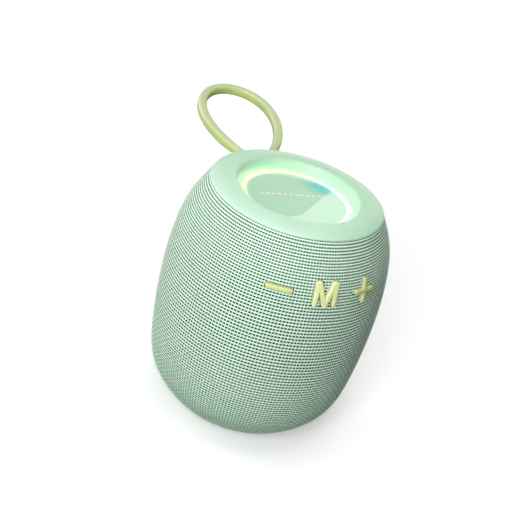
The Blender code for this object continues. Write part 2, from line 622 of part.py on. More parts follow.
# ---------------------------------------------------------------- lug
LUG_Y, LUG_Z = 38.4, 79.0  # centre line of the loop's bar in the lug's cross hole
LUG_T = 3.0
ACROSS = (0, 90, 0)  # turns a rod's axis along X
lug = rod("strap_anchor", 3.6, LUG_T, (0, LUG_Y + 0.25, LUG_Z), MINT, ACROSS, 24)
combine(lug, block("lug_web", (LUG_T, 9.0, 5.4), (0, 33.9, LUG_Z - 0.1)), "UNION")
combine(lug, block("lug_plate", (10.0, 1.4, 6.6), (0, 29.6, 77.1)), "UNION")
combine(lug, rod("lug_hole", 2.5, 8.0, (0, LUG_Y + 0.35, LUG_Z), rotation=ACROSS, segments=20))
lug_window = block("lug_window", (4.2, 14.0, 7.4), (0, 37.0, LUG_Z))
combine(fabric, lug_window)
combine(grille, lug_window)

# ---------------------------------------------------------------- carrying loop
LOOP_TILT = math.radians(80.0)  # from vertical, leaning towards +Y
LOOP_L, LOOP_W, LOOP_BAR_R = 47.3, 17.2, 1.8
NECK, TAPER = 0.06, 0.25  # width kept near the lug, and how fast the loop widens from it
LOOP_POINTS = 40


def loop_point(turn):
    """A point of the teardrop loop, relative to its pivot, from a turn angle in radians."""
    x = LOOP_W * math.sin(turn) * (math.sin(turn / 2) ** 2 + NECK) ** TAPER
    reach = LOOP_L * (1 - math.cos(turn)) / 2
    return (x, reach * math.sin(LOOP_TILT), reach * math.cos(LOOP_TILT))


loop_path = [loop_point(2 * math.pi * i / LOOP_POINTS) for i in range(LOOP_POINTS)]
strap = tube("strap_loop", loop_path, LOOP_BAR_R, LIME, resolution=2, ring=True)
strap.location = Vector((0.0, LUG_Y, LUG_Z)) * MM

# ---------------------------------------------------------------- port cover's origin on its hinge
bpy.context.view_layer.update()
hinge = Vector((0, HINGE_Y, HINGE_Z)) * MM
flap.data.transform(Matrix.Translation(-(flap.matrix_world.inverted() @ hinge)))
flap.location = hinge

# ---------------------------------------------------------------- shading
for obj in PARTS.objects:
    if obj.type == "MESH":
        obj.data.shade_smooth()
        obj.data.set_sharp_from_angle(angle=math.radians(35))
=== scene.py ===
"""Looks of a shower speaker: woven sleeve, moulded cap, lit ring, silicone keys and hanging loop.

The body stands on z = 0 and is turned about the Z axis. The keys face the front (-Y), the charging
port and the loop are at the back (+Y). Lengths are in mm unless noted; MM turns them into metres.
An azimuth is measured from the front toward +X.
"""

import json
import math

import bmesh
import bpy
import numpy as np
from mathutils import Matrix, Vector


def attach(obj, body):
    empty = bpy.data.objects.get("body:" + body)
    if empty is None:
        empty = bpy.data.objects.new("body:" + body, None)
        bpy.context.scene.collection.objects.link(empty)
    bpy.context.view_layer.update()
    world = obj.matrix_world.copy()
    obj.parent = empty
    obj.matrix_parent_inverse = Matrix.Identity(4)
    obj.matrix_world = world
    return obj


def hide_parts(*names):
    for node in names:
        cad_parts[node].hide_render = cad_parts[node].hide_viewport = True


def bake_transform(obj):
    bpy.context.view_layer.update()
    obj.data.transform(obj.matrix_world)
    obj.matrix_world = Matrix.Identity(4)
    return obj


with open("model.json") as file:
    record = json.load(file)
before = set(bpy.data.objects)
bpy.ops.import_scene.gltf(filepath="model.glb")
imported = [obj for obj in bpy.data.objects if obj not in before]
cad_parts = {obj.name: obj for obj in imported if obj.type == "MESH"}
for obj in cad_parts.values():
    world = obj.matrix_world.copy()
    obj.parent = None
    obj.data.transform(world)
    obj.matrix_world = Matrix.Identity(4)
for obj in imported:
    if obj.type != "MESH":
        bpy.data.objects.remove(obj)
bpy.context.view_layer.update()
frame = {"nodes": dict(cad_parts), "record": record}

MM = 0.001
TURN = 2 * math.pi

# ------------------------------------------------------------------ driving dimensions
BODY = [  # (z, radius)
    (1.5, 27.8), (12.25, 36.2), (23.0, 38.6), (33.75, 39.6), (44.5, 40.0),
    (55.25, 39.85), (66.0, 38.85), (76.75, 36.35), (87.5, 30.7),
]
ROW_PITCH = [  # (z, distance between rows of the weave)
    (2, 0.98), (16, 0.99), (20, 1.005), (24, 1.085), (28, 1.19), (32, 1.24), (36, 1.275),
    (40, 1.293), (44, 1.305), (48, 1.293), (52, 1.28), (56, 1.257), (60, 1.225), (64, 1.185),
    (68, 1.11), (72, 1.05), (75, 1.01), (78, 0.985), (81, 0.985), (84, 1.04), (87.4, 1.08),
]
ROW_GAP_Z = 44.97  # a gap between rows lies at this height
COLUMNS = 212  # warp yarns round the body
COLUMN_SHIFT = -0.25  # of a column

KEY_Z = 71.4
KEY_AZIMUTH = {"minus": -23.4, "mode": 0.65, "plus": 24.7}  # degrees
KEY_PROUD = 0.8

BACK = 180.0  # azimuth of the port and the lug, degrees
PORT_Z = 13.4
FLAP_W, FLAP_H, FLAP_CORNER = 13.0, 8.4, 2.2
LUG_Z = 79.0
PIVOT = np.array([0.0, 38.4, LUG_Z])  # where the loop passes through the lug

DISC_TOP, DISC_UNDER = 85.45, 84.25


# ------------------------------------------------------------------ the body's curve
def spline(points, count):
    """count points along a natural cubic spline through 2-D points, spaced by chord length."""
    p = np.array(points, float)
    chord = np.r_[0, np.cumsum(np.hypot(*np.diff(p, axis=0).T))]
    gap = np.diff(chord)
    size = len(chord)
    system = np.zeros((size, size))
    system[0, 0] = system[-1, -1] = 1
    rhs = np.zeros((size, 2))
    for i in range(1, size - 1):
        system[i, i - 1 : i + 2] = gap[i - 1], 2 * (gap[i - 1] + gap[i]), gap[i]
        rhs[i] = 6 * ((p[i + 1] - p[i]) / gap[i] - (p[i] - p[i - 1]) / gap[i - 1])
    bend = np.linalg.solve(system, rhs)
    u = np.linspace(0, chord[-1], count)
    i = np.clip(np.searchsorted(chord, u, side="right") - 1, 0, size - 2)
    left = (chord[i + 1] - u)[:, None]
    right = (u - chord[i])[:, None]
    w = gap[i][:, None]
    cubic = (bend[i] * left**3 + bend[i + 1] * right**3) / (6 * w)
    return (cubic + (p[i] / w - bend[i] * w / 6) * left
            + (p[i + 1] / w - bend[i + 1] * w / 6) * right)


def curve_normals(curve):
    tangent = np.gradient(curve, axis=0)
    tangent /= np.linalg.norm(tangent, axis=1)[:, None]
    return np.c_[tangent[:, 1], -tangent[:, 0]]


def count_rows(curve):
    """Rows of the weave passed on the way up to each point of the curve."""
    arc = np.r_[0, np.cumsum(np.hypot(*np.diff(curve, axis=0).T))]
    pitch = np.interp(curve[:, 1], *zip(*ROW_PITCH))
    rows = np.r_[0, np.cumsum(np.diff(arc) * 2 / (pitch[1:] + pitch[:-1]))]
    return rows - np.interp(ROW_GAP_Z, curve[:, 1], rows) % 1.0


CURVE = spline(BODY, 2000)[:, ::-1]  # (radius, z)
NORMAL = curve_normals(CURVE)  # outward
ROW_COUNT = count_rows(CURVE)


def surface(z, out=0.0):
    """Radius of the body, moved outward, at heights z."""
    moved = CURVE + out * NORMAL
    return np.interp(z, moved[:, 1], moved[:, 0])


# ------------------------------------------------------------------ mesh helpers
def add_object(name, data):
    obj = bpy.data.objects.new(name, data)
    bpy.context.scene.collection.objects.link(obj)
    return obj


def piece(name, verts, faces, mat, body="housing", slot=None, stands_for=(), sharp=None):
    """A smooth mesh object from vertices in mm; edges above `sharp` degrees stay sharp."""
    mesh = bpy.data.meshes.new(name)
    points = np.asarray(verts, float) * MM
    mesh.from_pydata(points.tolist(), [], [list(map(int, f)) for f in faces])
    mesh.validate()
    mesh.shade_smooth()
    if sharp:
        mesh.set_sharp_from_angle(angle=math.radians(sharp))
    obj = add_object(name, mesh)
    mesh.materials.append(mat)
    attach(obj, body)
    if stands_for:
        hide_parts(*stands_for)
    return obj


def runs_anticlockwise(points):
    return sum(a[0] * b[1] - b[0] * a[1] for a, b in zip(points, points[1:] + points[:1])) > 0


def lathe(name, profile, mat, segments=192, **more):
    """A turned solid from a closed profile of (radius, z) points."""
    p = [(float(r), float(z)) for r, z in profile]
    if runs_anticlockwise(p):  # clockwise points make the faces point out
        p = p[::-1]
    rings, verts, faces = [], [], []
    angles = np.linspace(0, TURN, segments, endpoint=False)
    for r, z in p:
        if r < 1e-6:
            rings.append([len(verts)])
            verts.append((0, 0, z))
        else:
            rings.append(list(range(len(verts), len(verts) + segments)))
            verts += [(r * math.cos(a), r * math.sin(a), z) for a in angles]
    pairs = list(zip(rings, rings[1:]))
    if not (p[0][0] < 1e-6 and p[-1][0] < 1e-6):
        pairs.append((rings[-1], rings[0]))
    for a, b in pairs:
        if len(a) == 1 and len(b) == 1:
            continue
        for i in range(segments):
            j = (i + 1) % segments
            if len(a) == 1:
                faces.append((a[0], b[i], b[j]))
            elif len(b) == 1:
                faces.append((a[i], b[0], a[j]))
            else:
                faces.append((a[i], b[i], b[j], a[j]))
    return piece(name, verts, faces, mat, **more)


def rounded(points, steps=5):
    """Rounds corners of (r, z, radius) points; the ends and a radius of 0 stay sharp."""
    out = []
    for i, (x, y, radius) in enumerate(points):
        if radius <= 0 or i in (0, len(points) - 1):
            out.append((x, y))
            continue
        corner = np.array([x, y])
        a = np.array(points[i - 1][:2]) - corner
        b = np.array(points[i + 1][:2]) - corner
        len_a, len_b = np.linalg.norm(a), np.linalg.norm(b)
        a, b = a / len_a, b / len_b
        half = 0.5 * math.acos(np.clip(a @ b, -1, 1))
        cut = min(radius / math.tan(half), 0.49 * len_a, 0.49 * len_b)
        radius = cut * math.tan(half)
        centre = corner + (a + b) / np.linalg.norm(a + b) * radius / math.sin(half)
        start, end = corner + a * cut - centre, corner + b * cut - centre
        angle = math.atan2(start[1], start[0])
        sweep = (math.atan2(end[1], end[0]) - angle + math.pi) % TURN - math.pi
        for k in range(steps + 1):
            t = angle + sweep * k / steps
            out.append((centre[0] + radius * math.cos(t), centre[1] + radius * math.sin(t)))
    return out


# ------------------------------------------------------------------ shader helpers
def add_node(tree, kind, inputs=None, **settings):
    """A shader node with its settings; an input is given a value or linked to a socket."""
    made = tree.nodes.new("ShaderNode" + kind)
    for key, value in settings.items():
        setattr(made, key, value)
    set_inputs(tree, made, inputs or {})
    return made


def set_inputs(tree, node, inputs):
    for key, value in inputs.items():
        if isinstance(value, bpy.types.NodeSocket):
            tree.links.new(value, node.inputs[key])
        else:
            node.inputs[key].default_value = value


def remap(tree, value, start=0.0, end=1.0, low=0.0, high=1.0, interpolation="SMOOTHSTEP"):
    """Maps start..end onto low..high."""
    inputs = {"Value": value, "From Min": start, "From Max": end, "To Min": low, "To Max": high}
    return add_node(tree, "MapRange", inputs, interpolation_type=interpolation).outputs["Result"]


def mix_colours(tree, factor, a, b, blend="MIX"):
    inputs = {"Factor": factor, "A": a, "B": b}
    node = add_node(tree, "Mix", inputs, data_type="RGBA", blend_type=blend)
    return node.outputs["Result"]


def colour_ramp(tree, value, stops, interpolation="LINEAR"):
    """stops: (position, (r, g, b)), in order."""
    node = add_node(tree, "ValToRGB", {"Fac": value})
    node.color_ramp.interpolation = interpolation
    elements = node.color_ramp.elements
    for i, (position, colour) in ((0, stops[0]), (1, stops[-1])):
        elements[i].position = position
        elements[i].color = (*colour, 1)
    for position, colour in stops[1:-1]:
        elements.new(position).color = (*colour, 1)
    return node.outputs["Color"]


def object_coords(tree):
    return add_node(tree, "TexCoord").outputs["Object"]


def vector_math(tree, operation, a, b=None, output="Value"):
    inputs = {0: a} if b is None else {0: a, 1: b}
    return add_node(tree, "VectorMath", inputs, operation=operation).outputs[output]


def camera_ray(tree):
    return add_node(tree, "LightPath").outputs["Is Camera Ray"]


def new_material(name):
    """A node material, as (material, tree, principled shader)."""
    mat = bpy.data.materials.new(name)
    mat.use_nodes = True
    return mat, mat.node_tree, mat.node_tree.nodes["Principled BSDF"]


def mix_base(mat, factor, colour, end="B", blend="MIX"):
    """Mixes a colour into the base colour, at end A or B of the mix; returns the result."""
    tree = mat.node_tree
    base = tree.nodes["Principled BSDF"].inputs["Base Color"]
    old = base.links[0].from_socket
    a, b = ((*colour, 1), old) if end == "A" else (old, (*colour, 1))
    result = mix_colours(tree, factor, a, b, blend)
    tree.links.new(result, base)
    return result


def finish(name, colour, rough, metal=0.0, vary=0.06, scale=400.0, bump=0.05, bump_scale=1500.0,
           stretch=(1, 1, 1), spec=0.5, sss=0.0, sheen=0.0, coat=0.0, rough_vary=0.08):
    """A surface whose colour and roughness wander a little, with a fine bump.

    vary and rough_vary are how far colour and roughness wander, scale and bump_scale the noises'
    scales, stretch the noises' scale along x, y and z.
    """
    mat, tree, shader = new_material(name)
    shader.inputs["Metallic"].default_value = metal
    shader.inputs["Specular IOR Level"].default_value = spec
    where = {"Vector": object_coords(tree), "Scale": stretch}
    where = add_node(tree, "Mapping", where).outputs["Vector"]
    noise = {"Vector": where, "Scale": scale, "Detail": 4.0}
    noise = add_node(tree, "TexNoise", noise).outputs["Fac"]
    base = np.array(colour)
    stops = [(0.3, np.clip(base * (1 - 2 * vary), 0, 1)), (0.7, np.clip(base * (1 + vary), 0, 1))]
    roughness = remap(tree, noise, low=max(0.004, rough - rough_vary),
                      high=min(1.0, rough + rough_vary), interpolation="LINEAR")
    set_inputs(tree, shader, {
        "Base Color": colour_ramp(tree, noise, stops),
        "Roughness": roughness,
    })
    if bump:
        fine = {"Vector": where, "Scale": bump_scale, "Detail": 3.0}
        fine = add_node(tree, "TexNoise", fine).outputs["Fac"]
        relief = {"Strength": bump, "Distance": 0.00005, "Height": fine}  # distance in metres
        relief = add_node(tree, "Bump", relief).outputs["Normal"]
        tree.links.new(relief, shader.inputs["Normal"])
    if sss:
        set_inputs(tree, shader, {
            "Subsurface Weight": sss,
            "Subsurface Radius": (0.6, 1.0, 0.5),
            "Subsurface Scale": 0.0015,
        })
    if sheen:
        set_inputs(tree, shader, {"Sheen Weight": sheen, "Sheen Roughness": 0.4})
    if coat:
        set_inputs(tree, shader, {"Coat Weight": coat, "Coat Roughness": 0.08})
    return mat


# ------------------------------------------------------------------ materials (places in metres)
def paint_shade_below(mat, tint=(0.76, 0.88, 0.79), low=0.004, high=0.034):
    """Painted shade: multiplies the colour toward a darker tint near the bottom of the body."""
    tree = mat.node_tree
    height = add_node(tree, "SeparateXYZ", {"Vector": object_coords(tree)}).outputs["Z"]
    factor = remap(tree, height, start=low, end=high, low=1.0, high=0.0)
    mix_base(mat, factor, tint, blend="MULTIPLY")


def cap_material():
    """Mint plastic, with a painted highlight toward the front left and darker toward the back right.
    """
    mat = finish("cap_plastic", (0.462, 0.738, 0.514), rough=0.42, vary=0.015, scale=60, bump=0.03,
                 bump_scale=2600, spec=0.45, sss=0.12, rough_vary=0.04)
    tree = mat.node_tree
    # painted highlight: the paler mint is mixed in toward the front left, where the light falls
    toward_back_right = vector_math(tree, "DOT_PRODUCT", object_coords(tree), (0.85, 0.53, 0.0))
    factor = remap(tree, toward_back_right, start=-0.027, end=0.012)
    mix_base(mat, factor, (0.602, 0.850, 0.669), end="A")
    return mat


def loop_material():
    """Lime silicone with a painted highlight where it faces up and left, a little light passing
    through, and a faint painted glow lifting its shaded side.
    """
    mat = finish("loop_silicone", (0.46, 0.56, 0.20), rough=0.42, vary=0.025, scale=110, bump=0.05,
                 bump_scale=2500, sss=0.5)
    tree = mat.node_tree
    # painted highlight: paler where the strand faces up and left, toward the light
    facing = add_node(tree, "NewGeometry").outputs["Normal"]
    facing = vector_math(tree, "DOT_PRODUCT", facing, (-0.45, 0.15, 0.88))
    factor = remap(tree, facing, start=0.1, end=0.95, interpolation="LINEAR")
    colour = mix_base(mat, factor, (0.51, 0.565, 0.33))
    shader = tree.nodes["Principled BSDF"]
    # a faint painted glow in the loop's colour lifts its shaded side
    set_inputs(tree, shader, {"Emission Color": colour, "Emission Strength": 0.13})
    return mat


# the warp is coloured darker and greener than the weft: painted shade for the warp lying deeper in
# the weave
M_WEFT = finish("weft_yarn", (0.80, 0.985, 0.865), rough=0.55, vary=0.05, scale=900, bump=0.3,
                bump_scale=5000, sheen=0.25, spec=0.4)
M_WARP = finish("warp_yarn", (0.54, 0.86, 0.61), rough=0.7, vary=0.08, scale=900, bump=0.3,
                bump_scale=5000, sheen=0.1, spec=0.25)
# painted shade toward the bottom of the sleeve
paint_shade_below(M_WEFT)
paint_shade_below(M_WARP)
# near black green: the dark inside of the body and painted shade in the weave's holes
M_BACKING = finish("fabric_backing", (0.006, 0.050, 0.016), rough=0.95, vary=0.15, scale=1500,
                   bump=0.4, bump_scale=3500, spec=0.1)
M_CAP = cap_material()
M_BASE = finish("base_plastic", (0.52, 0.80, 0.59), rough=0.5, vary=0.03, scale=120, bump=0.06,
                bump_scale=2200)
# one silicone coloured three ways: the mode key paler as painted highlight, the plus key darker as
# painted shade
KEY_MATS = {
    key: finish(name, colour, rough=0.42, vary=0.02, scale=150, bump=0.04, bump_scale=2500,
                sss=0.15)
    for key, name, colour in (
        ("minus", "key_silicone", (0.66, 0.73, 0.31)),
        ("mode", "mode_key_silicone_painted_highlight", (0.85, 0.93, 0.47)),
        ("plus", "plus_key_silicone_painted_shade", (0.63, 0.69, 0.29)),
    )
}
M_LOOP = loop_material()
M_FLAP = finish("flap_rubber", (0.50, 0.77, 0.56), rough=0.6, vary=0.03, scale=140, bump=0.08,
                bump_scale=2500)
M_FOOT = finish("foot_rubber", (0.14, 0.25, 0.18), rough=0.8, vary=0.08, scale=500, bump=0.25,
                bump_scale=2500)
M_BEZEL = finish("bezel_plastic", (0.045, 0.11, 0.07), rough=0.5, vary=0.08, scale=300, bump=0.1,
                 bump_scale=2500)

BY_SLOT = {  # materials of the parts that keep their own meshes
    "dark_shell": finish("shell_plastic", (0.045, 0.11, 0.07), rough=0.55, vary=0.08, scale=300,
                         bump=0.12, bump_scale=2500),
    "circuit_board": finish("solder_mask", (0.015, 0.15, 0.06), rough=0.35, vary=0.25, scale=700,
                            bump=0.15, bump_scale=1800, coat=0.4),
    "led_resin": finish("led_package", (0.92, 0.88, 0.62), rough=0.25, vary=0.05, scale=900,
                        bump=0.02, coat=0.5),
    "plated_steel": finish("zinc_plate", (0.62, 0.63, 0.65), rough=0.3, metal=1.0, vary=0.1,
                           scale=500, bump=0.08, bump_scale=2500, stretch=(1, 1, 6)),
    "black_plastic": finish("cabinet_plastic", (0.025, 0.027, 0.028), rough=0.45, vary=0.1,
                            scale=400, bump=0.15, bump_scale=2200),
    "black_foam": finish("gasket_foam", (0.03, 0.03, 0.032), rough=0.95, vary=0.3, scale=2500,
                         bump=0.6, bump_scale=3500),
    "ferrite": finish("ferrite_ceramic", (0.06, 0.06, 0.065), rough=0.6, vary=0.2, scale=900,
                      bump=0.3, bump_scale=2500),
    "cone_pulp": finish("pulp_fibre", (0.06, 0.06, 0.062), rough=0.85, vary=0.25, scale=1800,
                        bump=0.5, bump_scale=3200),
    "copper": finish("copper_winding", (0.75, 0.36, 0.18), rough=0.28, metal=1.0, vary=0.08,
                     scale=600, bump=0.35, bump_scale=900, stretch=(1, 1, 12)),
    "spider_cloth": finish("spider_weave", (0.60, 0.40, 0.15), rough=0.8, vary=0.2, scale=2200,
                           bump=0.6, bump_scale=2600),
    "black_rubber": finish("surround_rubber", (0.025, 0.025, 0.026), rough=0.5, vary=0.1,
                           scale=500, bump=0.08, bump_scale=1800),
    "chip_resin": finish("epoxy_black", (0.015, 0.015, 0.016), rough=0.4, vary=0.15, scale=1500,
                         bump=0.2, bump_scale=3500),
    "cell_wrap": finish("cell_film", (0.08, 0.22, 0.52), rough=0.3, metal=0.35, vary=0.06,
                        scale=150, bump=0.1, bump_scale=700),
    "wire_jacket": finish("wire_insulation", (0.58, 0.045, 0.035), rough=0.4, vary=0.05,
                          scale=400, bump=0.05, bump_scale=1500),
}
node_slot = {row["node"]: row["material_slot"] for row in frame["record"]["subparts"]}
for node, obj in frame["nodes"].items():
    mat = BY_SLOT.get(node_slot.get(node))
    if mat:
        if not obj.material_slots:
            obj.data.materials.append(mat)
        for material_slot in obj.material_slots:
            material_slot.material = mat


# ------------------------------------------------------------------ outlines
# Signed distances, negative inside; local x runs to the side and y up from the feature's centre.
def round_box(x, y, w, h, corner):
    qx, qy = np.abs(x) - (w / 2 - corner), np.abs(y) - (h / 2 - corner)
    outside = np.hypot(np.maximum(qx, 0), np.maximum(qy, 0))
    return outside + np.minimum(np.maximum(qx, qy), 0) - corner


def inset(polygon, distance):
    """Moves a polygon's sides inward (its points run anticlockwise)."""
    p = np.array(polygon, float)
    out = []
    for i in range(len(p)):
        a, b, c = p[i - 1], p[i], p[(i + 1) % len(p)]
        d1, d2 = (b - a) / np.linalg.norm(b - a), (c - b) / np.linalg.norm(c - b)
        both = np.array([-d1[1], d1[0]]) + np.array([-d2[1], d2[0]])
        out.append(b + distance * both / (0.5 * (both @ both)))
    return np.array(out)


def polygon_outline(polygon, corner):
    """Signed distance to a polygon whose outer corners are rounded."""
    p = inset(polygon, corner)

    def distance(x, y):
        x, y = np.asarray(x, float), np.asarray(y, float)
        best = np.full(x.shape, 1e9)
        sign = np.ones(x.shape)
        for a, b in zip(p, np.roll(p, -1, 0)):
            ex, ey = b - a
            wx, wy = x - a[0], y - a[1]
            t = np.clip((wx * ex + wy * ey) / (ex * ex + ey * ey), 0, 1)
            best = np.minimum(best, (wx - ex * t) ** 2 + (wy - ey * t) ** 2)
            above, below, left = y >= a[1], y < b[1], ex * wy > ey * wx
            crosses = (above & below & left) | (~above & ~below & ~left)
            sign = np.where(crosses, -sign, sign)
        return sign * np.sqrt(best) - corner

    return distance


LETTER_M = [
    (-4.15, -4.1), (-2.85, -4.1), (-2.55, 0.9), (-0.78, -4.1), (0.78, -4.1), (2.55, 0.9),
    (2.85, -4.1), (4.15, -4.1), (4.1, 4.35), (2.05, 4.35), (0.0, -1.3), (-2.05, 4.35), (-4.1, 4.35),
]
ARM, BAR = 4.4, 0.72  # the plus sign: its reach, half its upright's width
BAR_LOW = 0.7  # half its crossbar's height
CROSS = [
    (-ARM, -BAR_LOW), (-BAR, -BAR_LOW), (-BAR, -ARM), (BAR, -ARM), (BAR, -BAR_LOW), (ARM, -BAR_LOW),
    (ARM, BAR_LOW), (BAR, BAR_LOW), (BAR, ARM), (-BAR, ARM), (-BAR, BAR_LOW), (-ARM, BAR_LOW),
]
GLYPHS = {
    "minus": lambda x, y: round_box(x, y, w=9.1, h=1.4, corner=0.35),
    "plus": polygon_outline(CROSS, corner=0.32),
    "mode": polygon_outline(LETTER_M, corner=0.32),
}


def flap_outline(x, y):
    return round_box(x, y, FLAP_W, FLAP_H, FLAP_CORNER)


def lug_outline(x, y):
    return round_box(x, y + 0.25, w=3.4, h=6.0, corner=0.8)


WINDOWS = [  # (azimuth, z, outline, margin between outline and yarns)
    *((azimuth, KEY_Z, GLYPHS[key], 0.32) for key, azimuth in KEY_AZIMUTH.items()),
    (BACK, PORT_Z, flap_outline, 0.3),
    (BACK, LUG_Z, lug_outline, 0.15),
]


def window_gap(angle, r, z):
    """How far points of the body are outside every window; negative is inside one."""
    best = np.full(np.broadcast(angle, r, z).shape, 99.0)
    for azimuth, centre_z, outline, margin in WINDOWS:
        d = (angle - math.radians(azimuth) + math.pi) % TURN - math.pi
        near = np.abs(d) < 0.6
        if near.any():
            gap = outline(r * np.sin(d), z - centre_z) - margin
            best = np.where(near, np.minimum(best, gap), best)
    return best


# ------------------------------------------------------------------ woven sleeve
WEAVE_DEPTH = 0.13  # middle of the weave below the surface
WAVE = 0.065  # how far a yarn swings in and out
WARP_SINK = 0.025  # how much lower the warp runs
WEFT_THICK, WARP_THICK = 0.050, 0.028  # half a yarn's thickness
WEFT_WIDTH, WARP_WIDTH = 0.48, 0.34  # shares of a cell
YARN_SECTION = [(-0.5, -0.4), (-0.33, 0.62), (0.33, 0.62), (0.5, -0.4)]  # (width, thickness)
SECTION_ACROSS, SECTION_UP = np.array(YARN_SECTION).T
FIRST_ROW = math.ceil(np.interp(1.7, CURVE[:, 1], ROW_COUNT))
ROWS = math.floor(np.interp(87.3, CURVE[:, 1], ROW_COUNT)) - FIRST_ROW


def at_row(v, values):
    """Values given along the curve, at rows v."""
    return np.interp(v, ROW_COUNT, values)


def column_angle(u):
    return (u + COLUMN_SHIFT) * (TURN / COLUMNS)


def yarn_point(u, v, lift):
    """Position u columns round, v rows up and lift outward from the weave's middle."""
    r, z = at_row(v, CURVE[:, 0]), at_row(v, CURVE[:, 1])
    normal_r, normal_z = at_row(v, NORMAL[:, 0]), at_row(v, NORMAL[:, 1])
    angle = column_angle(u)
    radius = r + (lift - WEAVE_DEPTH) * normal_r
    height = z + (lift - WEAVE_DEPTH) * normal_z
    return np.stack([radius * np.sin(angle), -radius * np.cos(angle), height], -1)


def yarn_runs(u, v, wave, closed):
    """A yarn's stretches outside the windows, as lists of (u, v, wave), and whether it is a ring."""
    clear = window_gap(column_angle(u), at_row(v, CURVE[:, 0]), at_row(v, CURVE[:, 1]))
    n = len(u)
    runs, run = [], []
    for i in range(n + 1 if closed else n):
        j, q = i % n, (i - 1) % n
        if i > 0 and (clear[j] > 0) != (clear[q] > 0):  # a sample on the window's edge
            f = clear[q] / (clear[q] - clear[j])
            step = (u[j] - u[q] + COLUMNS / 2) % COLUMNS - COLUMNS / 2
            run.append((u[q] + f * step, v[q] + f * (v[j] - v[q]),
                        wave[q] + f * (wave[j] - wave[q])))
            if clear[j] <= 0:
                runs.append(run)
                run = []
        if clear[j] > 0:
            run.append((u[j] + (COLUMNS if i >= n else 0), v[j], wave[j]))
    if run:
        runs.append(run)
    ring = closed and len(runs) == 1 and len(runs[0]) == n + 1
    if ring:
        runs[0].pop()
    elif closed and clear[0] > 0:  # the last run goes on into the first
        runs[-1] = runs[-1][:-1] + [(a + COLUMNS, b, c) for a, b, c in runs[0]]
        runs = runs[1:]
    return runs, ring


def yarn_path(warp, k):
    """(u, v, wave) along yarn k, two samples to a cell."""
    if warp:
        t = np.arange(0, ROWS + 0.01, 0.5)
        wave = -WAVE * np.cos(math.pi * (k + t - 0.5)) - WARP_SINK
        return np.full(len(t), float(k)), FIRST_ROW + t, wave
    t = np.arange(0, COLUMNS, 0.5)
    return t, np.full(len(t), FIRST_ROW + k + 0.5), WAVE * np.cos(math.pi * (t + k))


def weave(name, warp, first, end, mat):
    """The yarns of one direction with index first..end-1, as closed ribbons."""
    verts, faces = [], []
    count = 0
    m = len(YARN_SECTION)
    across = (WARP_WIDTH if warp else WEFT_WIDTH) * SECTION_ACROSS
    up = (WARP_THICK if warp else WEFT_THICK) * SECTION_UP
    for k in range(first, end):
        runs, ring = yarn_runs(*yarn_path(warp, k), closed=not warp)
        for run in runs:
            u, v, wave = np.array(run).T[:, :, None]
            lift = wave + up
            points = yarn_point(u + across, v, lift) if warp else yarn_point(u, v + across, lift)
            verts.append(points.reshape(-1, 3))
            index = count + np.arange(len(run) * m).reshape(len(run), m)
            count += len(run) * m
            a = index if ring else index[:-1]
            b = np.roll(index, -1, 0) if ring else index[1:]
            for s in range(m):
                e = (s + 1) % m
                if warp:
                    quad = (a[:, s], a[:, e], b[:, e], b[:, s])
                else:
                    quad = (a[:, s], b[:, s], b[:, e], a[:, e])
                faces.append(np.stack(quad, -1))
            if not ring:
                start, stop = index[0], index[-1]
                faces.append(np.array([start[::-1], stop] if warp else [start, stop[::-1]]))
    # sharp along the yarn's flat underside
    piece(name, np.concatenate(verts), np.concatenate(faces), mat, slot="mint_fabric", sharp=75)


weave("fabric_weft_lower", False, 0, ROWS // 2, M_WEFT)
weave("fabric_weft_upper", False, ROWS // 2, ROWS, M_WEFT)
# warp yarns are counted from the front toward +X, so these are the +X and the -X half
weave("fabric_warp_front", True, 0, COLUMNS // 2, M_WARP)
weave("fabric_warp_back", True, COLUMNS // 2, COLUMNS, M_WARP)

# the dark backing behind the yarns, standing for the dark inside of the body; its near black is also
# painted shade in the holes
backing_z = np.linspace(1.75, 87.05, 90)
backing_outer = [(surface(z, -0.50), z) for z in backing_z]
backing_inner = [(surface(z, -0.85), z) for z in backing_z]
backing = lathe("fabric_backing", backing_outer[::-1] + backing_inner, M_BACKING, segments=240,
                slot="mint_fabric", stands_for=("fabric_sleeve",))


# ------------------------------------------------------------------ keys and port flap
def snap_to_outline(x, y, border, outline):
    """Walks the border points of a grid onto the outline."""
    h = 0.01
    for _ in range(6):
        d = outline(x, y)
        dx = (outline(x + h, y) - outline(x - h, y)) / (2 * h)
        dy = (outline(x, y + h) - outline(x, y - h)) / (2 * h)
        g = np.maximum(dx * dx + dy * dy, 0.25)
        x = np.where(border, x - d * dx / g, x)
        y = np.where(border, y - d * dy / g, y)
    return x, y


def neighbour_mean(x):
    out = x.copy()
    out[1:-1, 1:-1] = (x[2:, 1:-1] + x[:-2, 1:-1] + x[1:-1, 2:] + x[1:-1, :-2]) / 4
    return out


